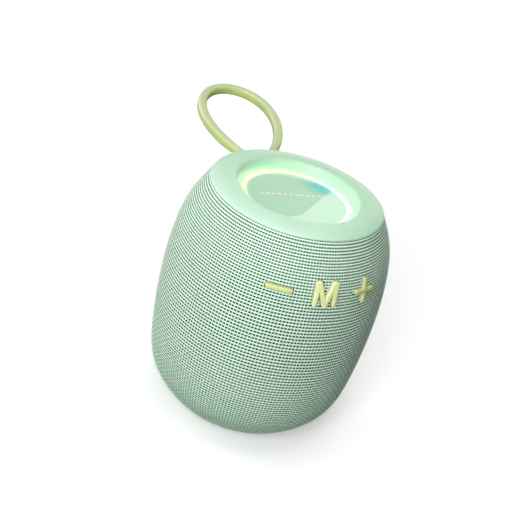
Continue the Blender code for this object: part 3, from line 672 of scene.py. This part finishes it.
def contour_solid(name, outline, azimuth, centre_z, reach, top, bottom, rounding, step, mat,
                  relief=None, **more):
    """A closed solid over an outline: a grid snapped to it, with a rounded upper edge.

    reach is the grid's half width and half height; top and bottom are heights above the body's
    surface; relief(x, y) is added to the top.
    """
    nx, ny = (int(round(2 * half / step)) + 1 for half in reach)
    grid_x, grid_y = np.meshgrid(np.linspace(-reach[0], reach[0], nx),
                                 np.linspace(-reach[1], reach[1], ny), indexing="ij")
    cell_x = (grid_x[:-1, :-1] + grid_x[1:, 1:]) / 2
    cell_y = (grid_y[:-1, :-1] + grid_y[1:, 1:]) / 2
    on = outline(cell_x, cell_y) < 0.0
    used = np.zeros(grid_x.shape, int)  # filled cells round each point
    for i in (0, 1):
        for j in (0, 1):
            used[i : i + on.shape[0], j : j + on.shape[1]] += on
    border = (used > 0) & (used < 4)
    x, y = snap_to_outline(grid_x, grid_y, border, outline)
    near = (used == 4) & (outline(grid_x, grid_y) > -2.2 * step)
    for _ in range(3):  # even out the cells just inside
        x, y = np.where(near, neighbour_mean(x), x), np.where(near, neighbour_mean(y), y)
    inside = np.maximum(-outline(x, y), 0.0)
    inside[border] = 0.0
    k = np.clip(rounding - inside, 0, rounding)
    height = top - rounding + np.sqrt(np.maximum(rounding**2 - k**2, 0))
    if relief is not None:
        height = height + relief(x, y)
    n = int((used > 0).sum())
    index = -np.ones(grid_x.shape, int)
    index[used > 0] = np.arange(n)
    angle = math.radians(azimuth)
    normal = np.array([math.sin(angle), -math.cos(angle), 0])
    tangent = np.array([math.cos(angle), math.sin(angle), 0])
    xs, ys = x[used > 0], y[used > 0]

    def place(lift):
        z = centre_z + ys
        depth = np.sqrt(np.maximum(surface(z) ** 2 - xs**2, 0)) + lift
        return xs[:, None] * tan_row + depth[:, None] * normal + z[:, None] * np.array([0, 0, 1])

    tan_row = tangent[None]
    verts = np.concatenate([place(height[used > 0]), place(np.full(n, bottom))]).tolist()
    ii, jj = np.nonzero(on)
    corners = [index[ii, jj], index[ii + 1, jj], index[ii + 1, jj + 1], index[ii, jj + 1]]
    quads = np.stack(corners, -1)
    # local x, y and the outward normal are right-handed
    faces = quads.tolist() + (quads[:, ::-1] + n).tolist()
    edges = {}  # those of one cell only, in order
    for quad in quads:
        for a, b in zip(quad, np.roll(quad, -1)):
            if (b, a) in edges:
                del edges[(b, a)]
            else:
                edges[(a, b)] = 1
    # two rings between top and bottom of the wall make the upper edge shade cleanly
    rim = sorted({a for edge in edges for a in edge})
    levels = [{a: a for a in rim}]
    for share in (0.04, 0.5):
        ring = {}
        for a in rim:
            upper, lower = np.array(verts[a]), np.array(verts[a + n])
            ring[a] = len(verts)
            verts.append((upper + (lower - upper) * share).tolist())
        levels.append(ring)
    levels.append({a: a + n for a in rim})
    for a, b in edges:
        for p, q in zip(levels, levels[1:]):
            faces.append((p[b], p[a], q[a], q[b]))
    return piece(name, verts, faces, mat, sharp=70, **more)


for key, azimuth in KEY_AZIMUTH.items():
    contour_solid(
        f"{key}_key_cap", GLYPHS[key], azimuth, KEY_Z, reach=(5.2, 5.2), top=KEY_PROUD,
        bottom=-3.2, rounding=0.32, step=0.13, mat=KEY_MATS[key], body=f"{key}_key",
        slot="key_silicone", stands_for=(f"{key}_key",),
    )


def flap_relief(x, y):
    """A lip along the top and a shallow framed field."""
    lip = 0.22 * np.exp(-((y - 2.9) / 0.45) ** 2) * (1 / (1 + np.exp((np.abs(x) - 3.4) * 4)))
    field = -0.16 / (1 + np.exp(round_box(x, y + 0.4, w=9.6, h=4.6, corner=1.4) * 7))
    return lip + field


contour_solid(
    "port_flap", flap_outline, BACK, PORT_Z, reach=(7.2, 4.9), top=0.0, bottom=-2.1, rounding=0.5,
    step=0.2, mat=M_FLAP, relief=flap_relief, body="port_cover", slot="mint_rubber",
    stands_for=("port_cover",),
)

# ------------------------------------------------------------------ cap: profiles are (r, z)
CAP_EDGE = (30.86, 87.32)  # where the crown meets the top of the sleeve
WELL_R = 21.2  # the recess for ring and disc
CROWN = [
    CAP_EDGE, (30.72, 87.72), (30.2, 88.02), (29.0, 88.42), (27.0, 88.84), (24.8, 89.07),
    (23.2, 89.05), (22.2, 88.7), (21.65, 87.9), (21.35, 86.9), (WELL_R, 85.9),
]
CAP_UNDERSIDE = [  # (r, z, corner radius)
    (*CAP_EDGE, 0), (30.6, 87.1, 0.15), (29.35, 87.1, 0.2), (29.15, 82.0, 0.2), (27.75, 82.0, 0.2),
    (27.5, 86.1, 0.4), (24.0, 86.9, 0.4), (23.3, 86.3, 0.3), (23.3, 78.9, 0.2), (0, 78.9, 0),
]
cap_profile = [(0, 80.4), (WELL_R, 80.4)] + [tuple(p) for p in spline(CROWN, 60)[::-1]]
cap_profile += rounded(CAP_UNDERSIDE, steps=4)[1:]
lathe("top_cap_shell", cap_profile, M_CAP, segments=256, sharp=50, slot="mint_plastic",
      stands_for=("top_cap",))

# ------------------------------------------------------------------ lit ring
RING_LIGHT = [  # (share of a turn from -X, colour); 0.25 is -Y, 0.5 is +X, 0.75 is +Y
    (0.00, (0.96, 1.00, 0.60)), (0.20, (0.90, 1.00, 0.80)), (0.36, (0.85, 1.00, 0.88)),
    (0.43, (0.95, 0.99, 0.97)), (0.48, (0.90, 0.97, 0.97)), (0.53, (0.82, 0.93, 0.97)),
    (0.575, (0.72, 0.94, 0.98)), (0.62, (0.92, 0.95, 0.88)), (0.66, (0.95, 0.96, 0.82)),
    (0.70, (0.95, 0.96, 0.72)), (0.78, (0.96, 0.97, 0.66)), (0.84, (0.97, 0.99, 0.66)),
    (0.92, (0.99, 1.00, 0.62)), (1.00, (0.96, 1.00, 0.60)),
]
RING_PROFILE = [  # (r, z, corner radius)
    (18.35, 85.6, 0), (18.9, 85.62, 0.2), (20.7, 85.95, 0.25), (20.95, 85.7, 0.15),
    (20.95, 82.2, 0.1), (20.2, 82.2, 0.1), (20.2, 83.2, 0.1), (16.7, 83.2, 0.1),
    (16.7, 83.85, 0.1), (18.35, 83.85, 0),
]


def ring_material():
    """Milky ring with the light's colour running round it."""
    mat, tree, shader = new_material("ring_diffuser")
    where = object_coords(tree)
    axes = add_node(tree, "SeparateXYZ", {"Vector": where}).outputs
    angle = add_node(tree, "Math", {0: axes["Y"], 1: axes["X"]}, operation="ARCTAN2").outputs[0]
    share = remap(tree, angle, start=-math.pi, end=math.pi, interpolation="LINEAR")
    colour = colour_ramp(tree, share, RING_LIGHT, interpolation="EASE")
    noise = add_node(tree, "TexNoise", {"Vector": where, "Scale": 260.0}).outputs["Fac"]

    flat = vector_math(tree, "MULTIPLY", where, (1, 1, 0), output="Vector")
    radius = vector_math(tree, "LENGTH", flat)
    rim = remap(tree, radius, start=0.0191, end=0.0204, high=0.9)
    colour = mix_colours(tree, rim, colour, (0.66, 0.96, 0.66, 1))  # greener at the outer rim
    core = remap(tree, radius, start=0.0186, end=0.0194, low=0.45, high=0.0)
    colour = mix_colours(tree, core, colour, (1.0, 0.98, 0.90, 1))  # whiter at the inner edge

    # what the eye sees stays below white, what it throws on the recess is stronger
    glow = {"Factor": camera_ray(tree), "A": 1.5, "B": 0.60}
    glow = add_node(tree, "Mix", glow).outputs["Result"]
    uneven = add_node(tree, "Math", {0: noise, 1: 0.06, 2: -0.03}, operation="MULTIPLY_ADD")
    strength = add_node(tree, "Math", {0: glow, 1: uneven.outputs["Value"]}, operation="ADD")
    set_inputs(tree, shader, {
        "Base Color": mix_colours(tree, 1.0, colour, (0.38, 0.38, 0.38, 1), blend="MULTIPLY"),
        "Emission Color": colour,
        "Emission Strength": strength.outputs["Value"],
        "Roughness": 0.35,
    })
    return mat


lathe("glow_ring", rounded(RING_PROFILE, steps=4), ring_material(), segments=256, sharp=50,
      slot="light_diffuser", stands_for=("light_ring",))

# ------------------------------------------------------------------ disc and its printed dots
GLINT_X, GLINT_Y = 16.0, 6.8  # where the panel's reflected edge meets the disc's rim


def disc_material():
    """Polished mint disc, with a painted teal glow of the ring's light at its edge at the back
    right.
    """
    mat = finish("disc_gloss", (0.600, 0.90, 0.665), rough=0.01, vary=0.012, scale=50, bump=0.0,
                 rough_vary=0.004, spec=0.6)
    tree = mat.node_tree
    where = object_coords(tree)
    away = vector_math(tree, "DISTANCE", where, (0.0150, 0.0095, 0.0855))
    painted_ring_glow = remap(tree, away, start=0.0010, end=0.0115, low=0.92, high=0.0)
    # the painted glow ends where the panel's reflection begins
    offset = vector_math(tree, "SUBTRACT", where, (GLINT_X * MM, GLINT_Y * MM, 0.0), "Vector")
    beyond = vector_math(tree, "DOT_PRODUCT", offset, (0.682, -0.731, 0.0))
    stop = remap(tree, beyond, start=-0.0002, end=0.0003, low=1.0, high=0.22,
                 interpolation="LINEAR")
    factor = add_node(tree, "Math", {0: painted_ring_glow, 1: stop}, operation="MULTIPLY").outputs["Value"]
    # mixes the painted teal glow of the ring's light into the base colour
    mix_base(mat, factor, (0.16, 0.78, 0.72))
    return mat


disc_profile = [(0, DISC_TOP), (6, DISC_TOP), (12, DISC_TOP)] + rounded([
    (0, DISC_TOP, 0), (17.2, DISC_TOP, 0.5), (18.0, 85.25, 0.25), (18.0, DISC_UNDER, 0.15),
    (0, DISC_UNDER, 0),
])[1:]
lathe("top_disc_face", disc_profile, disc_material(), segments=256, sharp=40, slot="mint_gloss",
      stands_for=("top_disc",))

DOT_COUNT, DOT_PITCH, DOT_R = 13, 2.18, 0.72
DOT_X, DOT_Y = -12.3, 1.9  # the leftmost dot
DOT_SIDES = 20


def dot_row():
    """A row of low printed dots across the disc."""
    verts, faces = [], []
    k = DOT_SIDES
    for i in range(DOT_COUNT):
        x = DOT_X + DOT_PITCH * i
        base = len(verts)
        for radius, lift in ((DOT_R, 0.002), (DOT_R * 0.93, 0.028)):
            for j in range(k):
                angle = TURN * j / k
                verts.append((x + radius * math.cos(angle), DOT_Y + radius * math.sin(angle),
                              DISC_TOP + lift))
        verts.append((x, DOT_Y, DISC_TOP + 0.03))
        for j in range(k):
            q = (j + 1) % k
            faces.append((base + j, base + q, base + k + q, base + k + j))
            faces.append((base + k + j, base + k + q, base + 2 * k))
        faces.append(tuple(base + j for j in reversed(range(k))))
    mat = finish("disc_print", (0.93, 0.90, 0.78), rough=0.3, vary=0.03, scale=600, bump=0.02)
    piece("disc_dots", verts, faces, mat, slot="mint_gloss")


dot_row()

# ------------------------------------------------------------------ base and foot
BASE_PROFILE = [  # (r, z, corner radius)
    (0, 3.3, 0), (25.2, 3.3, 0.3), (surface(4.4, -3.4), 4.6, 0.2), (surface(6.2, -3.4), 6.2, 0.1),
    (surface(6.2, -1.5), 6.2, 0.2), (surface(4.2, -1.5), 4.2, 2.0), (27.35, 1.7, 0.8),
    (26.3, 0.85, 0.5), (24.8, 0.8, 0), (24.6, 1.05, 0), (24.3, 1.05, 0), (24.1, 0.8, 0),
    (22.35, 0.8, 0.15), (22.3, 1.5, 0.1), (0, 1.5, 0),
]
lathe("base_shell", rounded(BASE_PROFILE), M_BASE, sharp=40, slot="mint_plastic",
      stands_for=("base_cover",))

foot_profile = [(0, 1.2), (22.0, 1.2), (22.0, 0.35), (21.9, 0.12), (21.6, 0.0)]
for groove_r in (19.4, 16.4, 13.4, 10.4):
    foot_profile += [(groove_r + 0.5, 0.0), (groove_r + 0.3, 0.35), (groove_r - 0.3, 0.35),
                     (groove_r - 0.5, 0.0)]
lathe("foot_pad_ribbed", foot_profile + [(0, 0.0)], M_FOOT, segments=160, sharp=35,
      slot="foot_rubber", stands_for=("foot_pad",))

# ------------------------------------------------------------------ hanging loop
LOOP_TILT = math.radians(80.0)  # from upright toward the back
LOOP_LENGTH, LOOP_WIDTH = 47.3, 17.2  # width before the taper toward the pivot
TAPER_FLOOR, TAPER_POWER = 0.06, 0.25
LOOP_STEPS = 220
STRAND_AT_PIVOT = np.array([3.3, 3.3, 1.6])  # width, height, corner radius
STRAND_AWAY = np.array([3.6, 3.9, 1.25])


def loop_outline(u):
    """Distances to the side and out from the pivot, u from 0 to a full turn."""
    side = LOOP_WIDTH * np.sin(u) * (np.sin(u / 2) ** 2 + TAPER_FLOOR) ** TAPER_POWER
    return side, LOOP_LENGTH * (1 - np.cos(u)) / 2


def strand_section(w, h, corner, steps=8):
    """A rounded rectangle, w across and h high, as points."""
    points = []
    x, y = w / 2 - corner, h / 2 - corner
    for cx, cy, start in ((x, y, 0), (-x, y, 90), (-x, -y, 180), (x, -y, 270)):
        for i in range(steps + 1):
            a = math.radians(start + 90 * i / steps)
            points.append((cx + corner * math.cos(a), cy + corner * math.sin(a)))
    return points


def hanging_loop():
    side_axis = np.array([1.0, 0, 0])
    out_axis = np.array([0, math.sin(LOOP_TILT), math.cos(LOOP_TILT)])
    up_axis = np.cross(side_axis, out_axis)
    u = np.linspace(0, TURN, 4001)
    side, out = loop_outline(u)
    length = np.r_[0, np.cumsum(np.hypot(np.diff(side), np.diff(out)))]
    u = np.interp(np.linspace(0, length[-1], LOOP_STEPS, endpoint=False), length, u)
    side, out = loop_outline(u)
    centres = PIVOT + side[:, None] * side_axis + out[:, None] * out_axis
    tangents = np.roll(centres, -1, 0) - np.roll(centres, 1, 0)
    tangents /= np.linalg.norm(tangents, axis=1)[:, None]
    verts, faces = [], []
    for centre, tangent, distance in zip(centres, tangents, out):
        outward = np.cross(tangent, up_axis)
        k = float(np.clip((distance - 3.0) / 9.0, 0, 1))
        k = k * k * (3 - 2 * k)
        section = strand_section(*(STRAND_AT_PIVOT + (STRAND_AWAY - STRAND_AT_PIVOT) * k))
        verts += [(centre + a * outward + b * up_axis).tolist() for a, b in section]
    m = len(section)
    for i in range(LOOP_STEPS):
        j = (i + 1) % LOOP_STEPS
        for k in range(m):
            q = (k + 1) % m
            faces.append((i * m + k, i * m + q, j * m + q, j * m + k))
    piece("hanging_loop", verts, faces, M_LOOP, body="strap", slot="lime_silicone",
          stands_for=("strap_loop",))


hanging_loop()

# ------------------------------------------------------------------ lug
EYE_Y, EYE_R = 38.65, 3.6
HOLE_Y, HOLE_R = 38.75, 2.5
LUG_THICK = 3.0
WEB = [  # (y, z)
    (34.6, 81.4), (29.4, 81.4), (29.4, 80.2), (29.0, 80.2), (29.0, 74.0), (30.1, 74.0),
    (30.1, 76.4), (34.6, 76.4),
]


def circle_points(y, radius, angles):
    return [(y + radius * math.cos(a), LUG_Z + radius * math.sin(a)) for a in angles]


def filled_outline(outlines):
    """A flat-sided mesh over closed outlines, LUG_THICK deep."""
    curve = bpy.data.curves.new("lug_outline", "CURVE")
    curve.dimensions = "2D"
    curve.fill_mode = "BOTH"
    curve.extrude = LUG_THICK / 2 * MM
    for points in outlines:
        line = curve.splines.new("POLY")
        line.points.add(len(points) - 1)
        for p, (a, b) in zip(line.points, points):
            p.co = (a * MM, b * MM, 0, 1)
        line.use_cyclic_u = True
    holder = add_object("lug_curve", curve)
    bpy.context.view_layer.update()
    depsgraph = bpy.context.evaluated_depsgraph_get()
    mesh = bpy.data.meshes.new_from_object(holder.evaluated_get(depsgraph))
    bpy.data.objects.remove(holder, do_unlink=True)
    return mesh


def lug_eye():
    """An eye on a web, with rounded edges."""
    mesh = bpy.data.meshes.new("lug_eye")
    eye = circle_points(EYE_Y, EYE_R, [math.radians(a) for a in range(-110, 111, 10)])
    hole = circle_points(HOLE_Y, HOLE_R, [TURN * i / 32 for i in range(32)])
    bm = bmesh.new()
    bm.from_mesh(filled_outline([eye + WEB, hole]))
    bmesh.ops.remove_doubles(bm, verts=bm.verts, dist=1e-6)
    for v in bm.verts:  # the outline lies in YZ, its depth along X
        v.co = (v.co.z, v.co.x, v.co.y)
    bmesh.ops.recalc_face_normals(bm, faces=bm.faces)
    bm.to_mesh(mesh)
    bm.free()
    mesh.materials.append(M_CAP)
    mesh.shade_smooth()
    lug = add_object("lug_eye", mesh)
    bevel = lug.modifiers.new("round", "BEVEL")
    bevel.width = 0.45 * MM
    bevel.segments = 4
    bevel.limit_method = "ANGLE"
    bevel.angle_limit = math.radians(50)
    bevel.harden_normals = False
    mesh.set_sharp_from_angle(angle=math.radians(60))
    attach(lug, "housing")
    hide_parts("strap_anchor")


lug_eye()

# ------------------------------------------------------------------ rolls and spider
# They sit round the cone and the radiator. Profiles are (radius, height outward of the baffle).
DRIVER_Z, BAFFLE_Y = 41.75, 25.0  # the common axis; each baffle's distance from the body's axis
FLEX_PARTS, FLEX_STEPS = 12, 4
CONE_ROLL = [
    (14.4, 1.2), (14.4, 1.7), (15.4, 1.9), (15.9, 3.1), (16.9, 3.8), (17.9, 3.2), (19.0, 3.2),
    (19.0, 2.7), (17.7, 2.7), (16.9, 3.3), (16.3, 2.8), (15.6, 1.2),
]
SPIDER = [
    (14.0, -6.0), (14.0, -6.4), (12.3, -6.9), (10.7, -6.4), (9.1, -6.9), (7.5, -6.4),
    (7.5, -6.0), (9.1, -6.5), (10.7, -6.0), (12.3, -6.5),
]
RADIATOR_ROLL = [
    (20.6, 2.6), (20.6, 2.1), (17.4, 2.1), (16.9, 2.5), (15.2, 3.4), (13.6, 2.5), (13.2, 2.1),
    (12.8, 2.1), (12.8, 2.6), (13.3, 3.0), (15.2, 4.0), (17.0, 3.1), (17.5, 2.6),
]


def flexing(node, profile, facing, slot):
    """A ring of closed segments, each spanning between the housing and the moving body.

    facing is -1 toward the front, 1 toward the back.
    """
    p = profile[::-1] if runs_anticlockwise(profile) == (facing > 0) else profile
    m = len(p)
    for i in range(FLEX_PARTS):
        verts, faces = [], []
        for j in range(FLEX_STEPS + 1):
            a = TURN * (i + j / FLEX_STEPS) / FLEX_PARTS
            verts += [(r * math.cos(a), facing * (BAFFLE_Y + h), DRIVER_Z + r * math.sin(a))
                      for r, h in p]
        for j in range(FLEX_STEPS):
            for k in range(m):
                q = (k + 1) % m
                faces.append((j * m + k, j * m + q, (j + 1) * m + q, (j + 1) * m + k))
        faces += [tuple(reversed(range(m))), tuple(FLEX_STEPS * m + k for k in range(m))]
        mesh = bpy.data.meshes.new(f"{node}_flex_{i + 1}")
        mesh.from_pydata((np.array(verts) * MM).tolist(), [], faces)
        bm = bmesh.new()
        bm.from_mesh(mesh)
        bmesh.ops.triangulate(bm, faces=[f for f in bm.faces if len(f.verts) > 4])
        bmesh.ops.recalc_face_normals(bm, faces=bm.faces)
        bm.to_mesh(mesh)
        bm.free()
        mesh.shade_smooth()
        mesh.set_sharp_from_angle(angle=math.radians(50))
        mesh.materials.append(BY_SLOT[slot])
        obj = add_object(mesh.name, mesh)
        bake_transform(obj)
        if i == 0:
            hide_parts(node)


flexing("driver_surround", CONE_ROLL, facing=-1,
        slot="black_rubber")
flexing("driver_spider", SPIDER, facing=-1,
        slot="spider_cloth")
flexing("radiator_surround", RADIATOR_ROLL, facing=1,
        slot="black_rubber")


# ------------------------------------------------------------------ bezel round the port
def bezel_outline(x, y):
    outer = round_box(x, y, FLAP_W + 0.7, FLAP_H + 0.7, corner=2.4)
    return np.maximum(outer, -round_box(x, y, w=9.8, h=4.0, corner=1.4))


contour_solid("port_bezel", bezel_outline, BACK, PORT_Z, reach=(7.4, 5.0), top=-2.75, bottom=-3.6,
              rounding=0.1, step=0.2, mat=M_BEZEL, slot="dark_shell")


# ------------------------------------------------------------------ windows through the backing
def window_cutter(name, outline, azimuth, centre_z, reach, grow):
    return contour_solid(name, lambda x, y: outline(x, y) - grow, azimuth, centre_z, reach,
                         top=2.0, bottom=-6.0, rounding=0.01, step=0.25, mat=M_BACKING)


def cut_windows():
    cutters = [
        window_cutter(f"window_{key}", GLYPHS[key], azimuth, KEY_Z, reach=(5.6, 5.6), grow=0.28)
        for key, azimuth in KEY_AZIMUTH.items()
    ]
    cutters += [
        window_cutter("window_port", flap_outline, BACK, PORT_Z, reach=(7.6, 5.2), grow=0.32),
        window_cutter("window_lug", lug_outline, BACK, LUG_Z, reach=(2.6, 4.6), grow=0.15),
    ]
    for cutter in cutters:
        boolean = backing.modifiers.new(cutter.name, "BOOLEAN")
        boolean.operation = "DIFFERENCE"
        boolean.object = cutter
        boolean.solver = "EXACT"
    bpy.context.view_layer.update()
    depsgraph = bpy.context.evaluated_depsgraph_get()
    mesh = bpy.data.meshes.new_from_object(backing.evaluated_get(depsgraph))
    backing.modifiers.clear()
    backing.data = mesh
    mesh.set_sharp_from_angle(angle=math.radians(40))
    for cutter in cutters:
        bpy.data.objects.remove(cutter, do_unlink=True)


cut_windows()


# ------------------------------------------------------------------ floor and world
def floor_material():
    """Pale to the camera, duller to the object, running out into plain white far away."""
    mat, tree, shader = new_material("studio_floor")
    seen = camera_ray(tree)
    to_object, to_camera = (0.14, 0.15, 0.14, 1), (0.93, 0.93, 0.93, 1)
    away = vector_math(tree, "LENGTH", object_coords(tree))
    far = remap(tree, away, start=0.12, end=0.75, low=0.26, high=0.95)  # from and to in metres
    glow = add_node(tree, "Math", {0: seen, 1: far}, operation="MULTIPLY")
    set_inputs(tree, shader, {
        "Roughness": 0.9,
        "Specular IOR Level": 0.1,
        "Base Color": mix_colours(tree, seen, to_object, to_camera),
        "Emission Color": (1, 1, 1, 1),
        "Emission Strength": glow.outputs["Value"],
    })
    return mat


def studio_floor(radius=9, z=-0.0002, sides=96):
    """A disc just below the foot, in metres."""
    material = floor_material()
    mesh = bpy.data.meshes.new("studio_floor")
    angles = [TURN * i / sides for i in range(sides)]
    rim = [(radius * math.cos(a), radius * math.sin(a), z) for a in angles]
    faces = [(0, 1 + i, 1 + (i + 1) % sides) for i in range(sides)]
    mesh.from_pydata([(0, 0, z)] + rim, [], faces)
    mesh.materials.append(material)
    add_object("studio_floor", mesh)


def studio_world():
    """White to the camera, a dim ambient light to everything else."""
    world = bpy.data.worlds.new("studio")
    bpy.context.scene.world = world
    world.use_nodes = True
    tree = world.node_tree
    ambient = tree.nodes["Background"]
    set_inputs(tree, ambient, {"Color": (0.95, 1.0, 0.98, 1), "Strength": 0.11})
    white = add_node(tree, "Background", {"Color": (1, 1, 1, 1)})
    both = add_node(tree, "MixShader", {
        "Fac": camera_ray(tree),
        1: ambient.outputs["Background"],
        2: white.outputs["Background"],
    })
    tree.links.new(both.outputs["Shader"], tree.nodes["World Output"].inputs["Surface"])


studio_floor()
studio_world()

# ------------------------------------------------------------------ lights
VIEW_AZIMUTH, VIEW_ELEVATION = math.radians(-28.0), math.radians(31.778)
SIN_AZ, COS_AZ = math.sin(VIEW_AZIMUTH), math.cos(VIEW_AZIMUTH)
SIN_EL, COS_EL = math.sin(VIEW_ELEVATION), math.cos(VIEW_ELEVATION)
VIEW_RIGHT = Vector((COS_AZ, SIN_AZ, 0))  # the camera's axes before it rolls
VIEW_UP = Vector((-SIN_AZ * SIN_EL, COS_AZ * SIN_EL, COS_EL))
VIEW_BACK = Vector((SIN_AZ * COS_EL, -COS_AZ * COS_EL, SIN_EL))
TARGET = Vector((0, 0, 44.5))


def from_camera(right, up, back):
    """A place given along the camera's unrolled axes, from the target."""
    return TARGET + right * VIEW_RIGHT + up * VIEW_UP + back * VIEW_BACK


def axes_rotation(x_axis, y_axis, z_axis):
    return Matrix((x_axis, y_axis, z_axis)).transposed().to_quaternion()


def area_light(name, place, rotation, width, height, power, colour):
    """A soft box that the camera doesn't see."""
    light = bpy.data.lights.new(name, "AREA")
    light.shape = "RECTANGLE"
    light.size = width * MM
    light.size_y = height * MM
    light.energy = power
    light.color = colour
    obj = add_object(name, light)
    obj.location = place * MM
    obj.rotation_mode = "QUATERNION"
    obj.rotation_quaternion = rotation
    obj.visible_camera = False


SOFT_BOX = 500
WARM, COOL = (1.0, 0.998, 0.99), (0.99, 1.0, 1.0)
SOFT_BOXES = [  # (name, place, power, colour)
    ("top_light", Vector((0, 0, 1050)), 2.55, WARM),
    ("top_left_light", from_camera(-650, 600, 600), 1.2, WARM),
    ("front_light", from_camera(-150, 150, 1000), 4.7, WARM),
    ("low_front_light", from_camera(-250, -250, 950), 4.9, WARM),
    ("low_left_light", from_camera(-750, -200, 650), 0.85, WARM),
    ("back_left_light", from_camera(-900, 350, -400), 5.4, COOL),
    ("back_fill", Vector((520, 860, 110)), 1.8, COOL),
    ("right_fill", Vector((840, 560, 120)), 1.5, COOL),
]
for name, place, power, colour in SOFT_BOXES:
    rotation = (TARGET - place).to_track_quat("-Z", "Y")
    area_light(name, place, rotation, SOFT_BOX, SOFT_BOX, power, colour)

# points of the disc where the panel's edge shows, each with the reflected ray's direction:
# degrees from +Y toward +X, degrees above the horizon
PANEL_EDGE = [
    (Vector((GLINT_X, GLINT_Y, DISC_TOP)), (29.94, 25.0)),
    (Vector((-5.1, -12.9, DISC_TOP)), (28.3, 27.02)),
]
PANEL_REACH = 1300.0
PANEL_AIM = Vector((0, 0, 85))
PANEL_W, PANEL_H = 420.0, 900.0


def edge_panel():
    """A panel whose straight edge shows in the glossy disc."""
    ends = []
    for point, (turn, rise) in PANEL_EDGE:
        a, e = math.radians(turn), math.radians(rise)
        ray = Vector((math.sin(a) * math.cos(e), math.cos(a) * math.cos(e), math.sin(e)))
        ends.append(point + PANEL_REACH * ray)
    along = (ends[1] - ends[0]).normalized()
    middle = (ends[0] + ends[1]) / 2
    across = (middle - PANEL_AIM).normalized().cross(along).normalized()
    centre = middle + across * (PANEL_W / 2)
    z_axis = (centre - PANEL_AIM).normalized()
    y_axis = (along - along.dot(z_axis) * z_axis).normalized()
    rotation = axes_rotation(y_axis.cross(z_axis), y_axis, z_axis)
    area_light("edge_panel", centre, rotation, PANEL_W, PANEL_H, power=1.8, colour=(1.0, 1.0, 1.0))


edge_panel()

# ------------------------------------------------------------------ camera
CAMERA_DISTANCE = 363.5
CAMERA_ROLL = math.radians(16.996)
SENSOR_WIDTH, LENS = 36.0, 70.1223529
# the camera aims a little left of and above the target (tangents of the angles)
AIM_LEFT, AIM_UP = 0.0122287095, 0.0394070868


def add_camera():
    data = bpy.data.cameras.new("camera")
    camera = add_object("camera", data)
    bpy.context.scene.camera = camera
    data.sensor_width = SENSOR_WIDTH
    data.lens = LENS
    data.clip_start = 0.01
    data.clip_end = 50.0
    right = math.cos(CAMERA_ROLL) * VIEW_RIGHT + math.sin(CAMERA_ROLL) * VIEW_UP
    up = -math.sin(CAMERA_ROLL) * VIEW_RIGHT + math.cos(CAMERA_ROLL) * VIEW_UP
    back = -(-VIEW_BACK - AIM_LEFT * right + AIM_UP * up).normalized()
    right = (right - right.dot(back) * back).normalized()
    camera.rotation_mode = "QUATERNION"
    camera.rotation_quaternion = axes_rotation(right, back.cross(right), back)
    camera.location = (TARGET + CAMERA_DISTANCE * VIEW_BACK) * MM


add_camera()

view = bpy.context.scene.view_settings
view.view_transform = "Standard"
view.look = "None"
view.exposure = 0.0
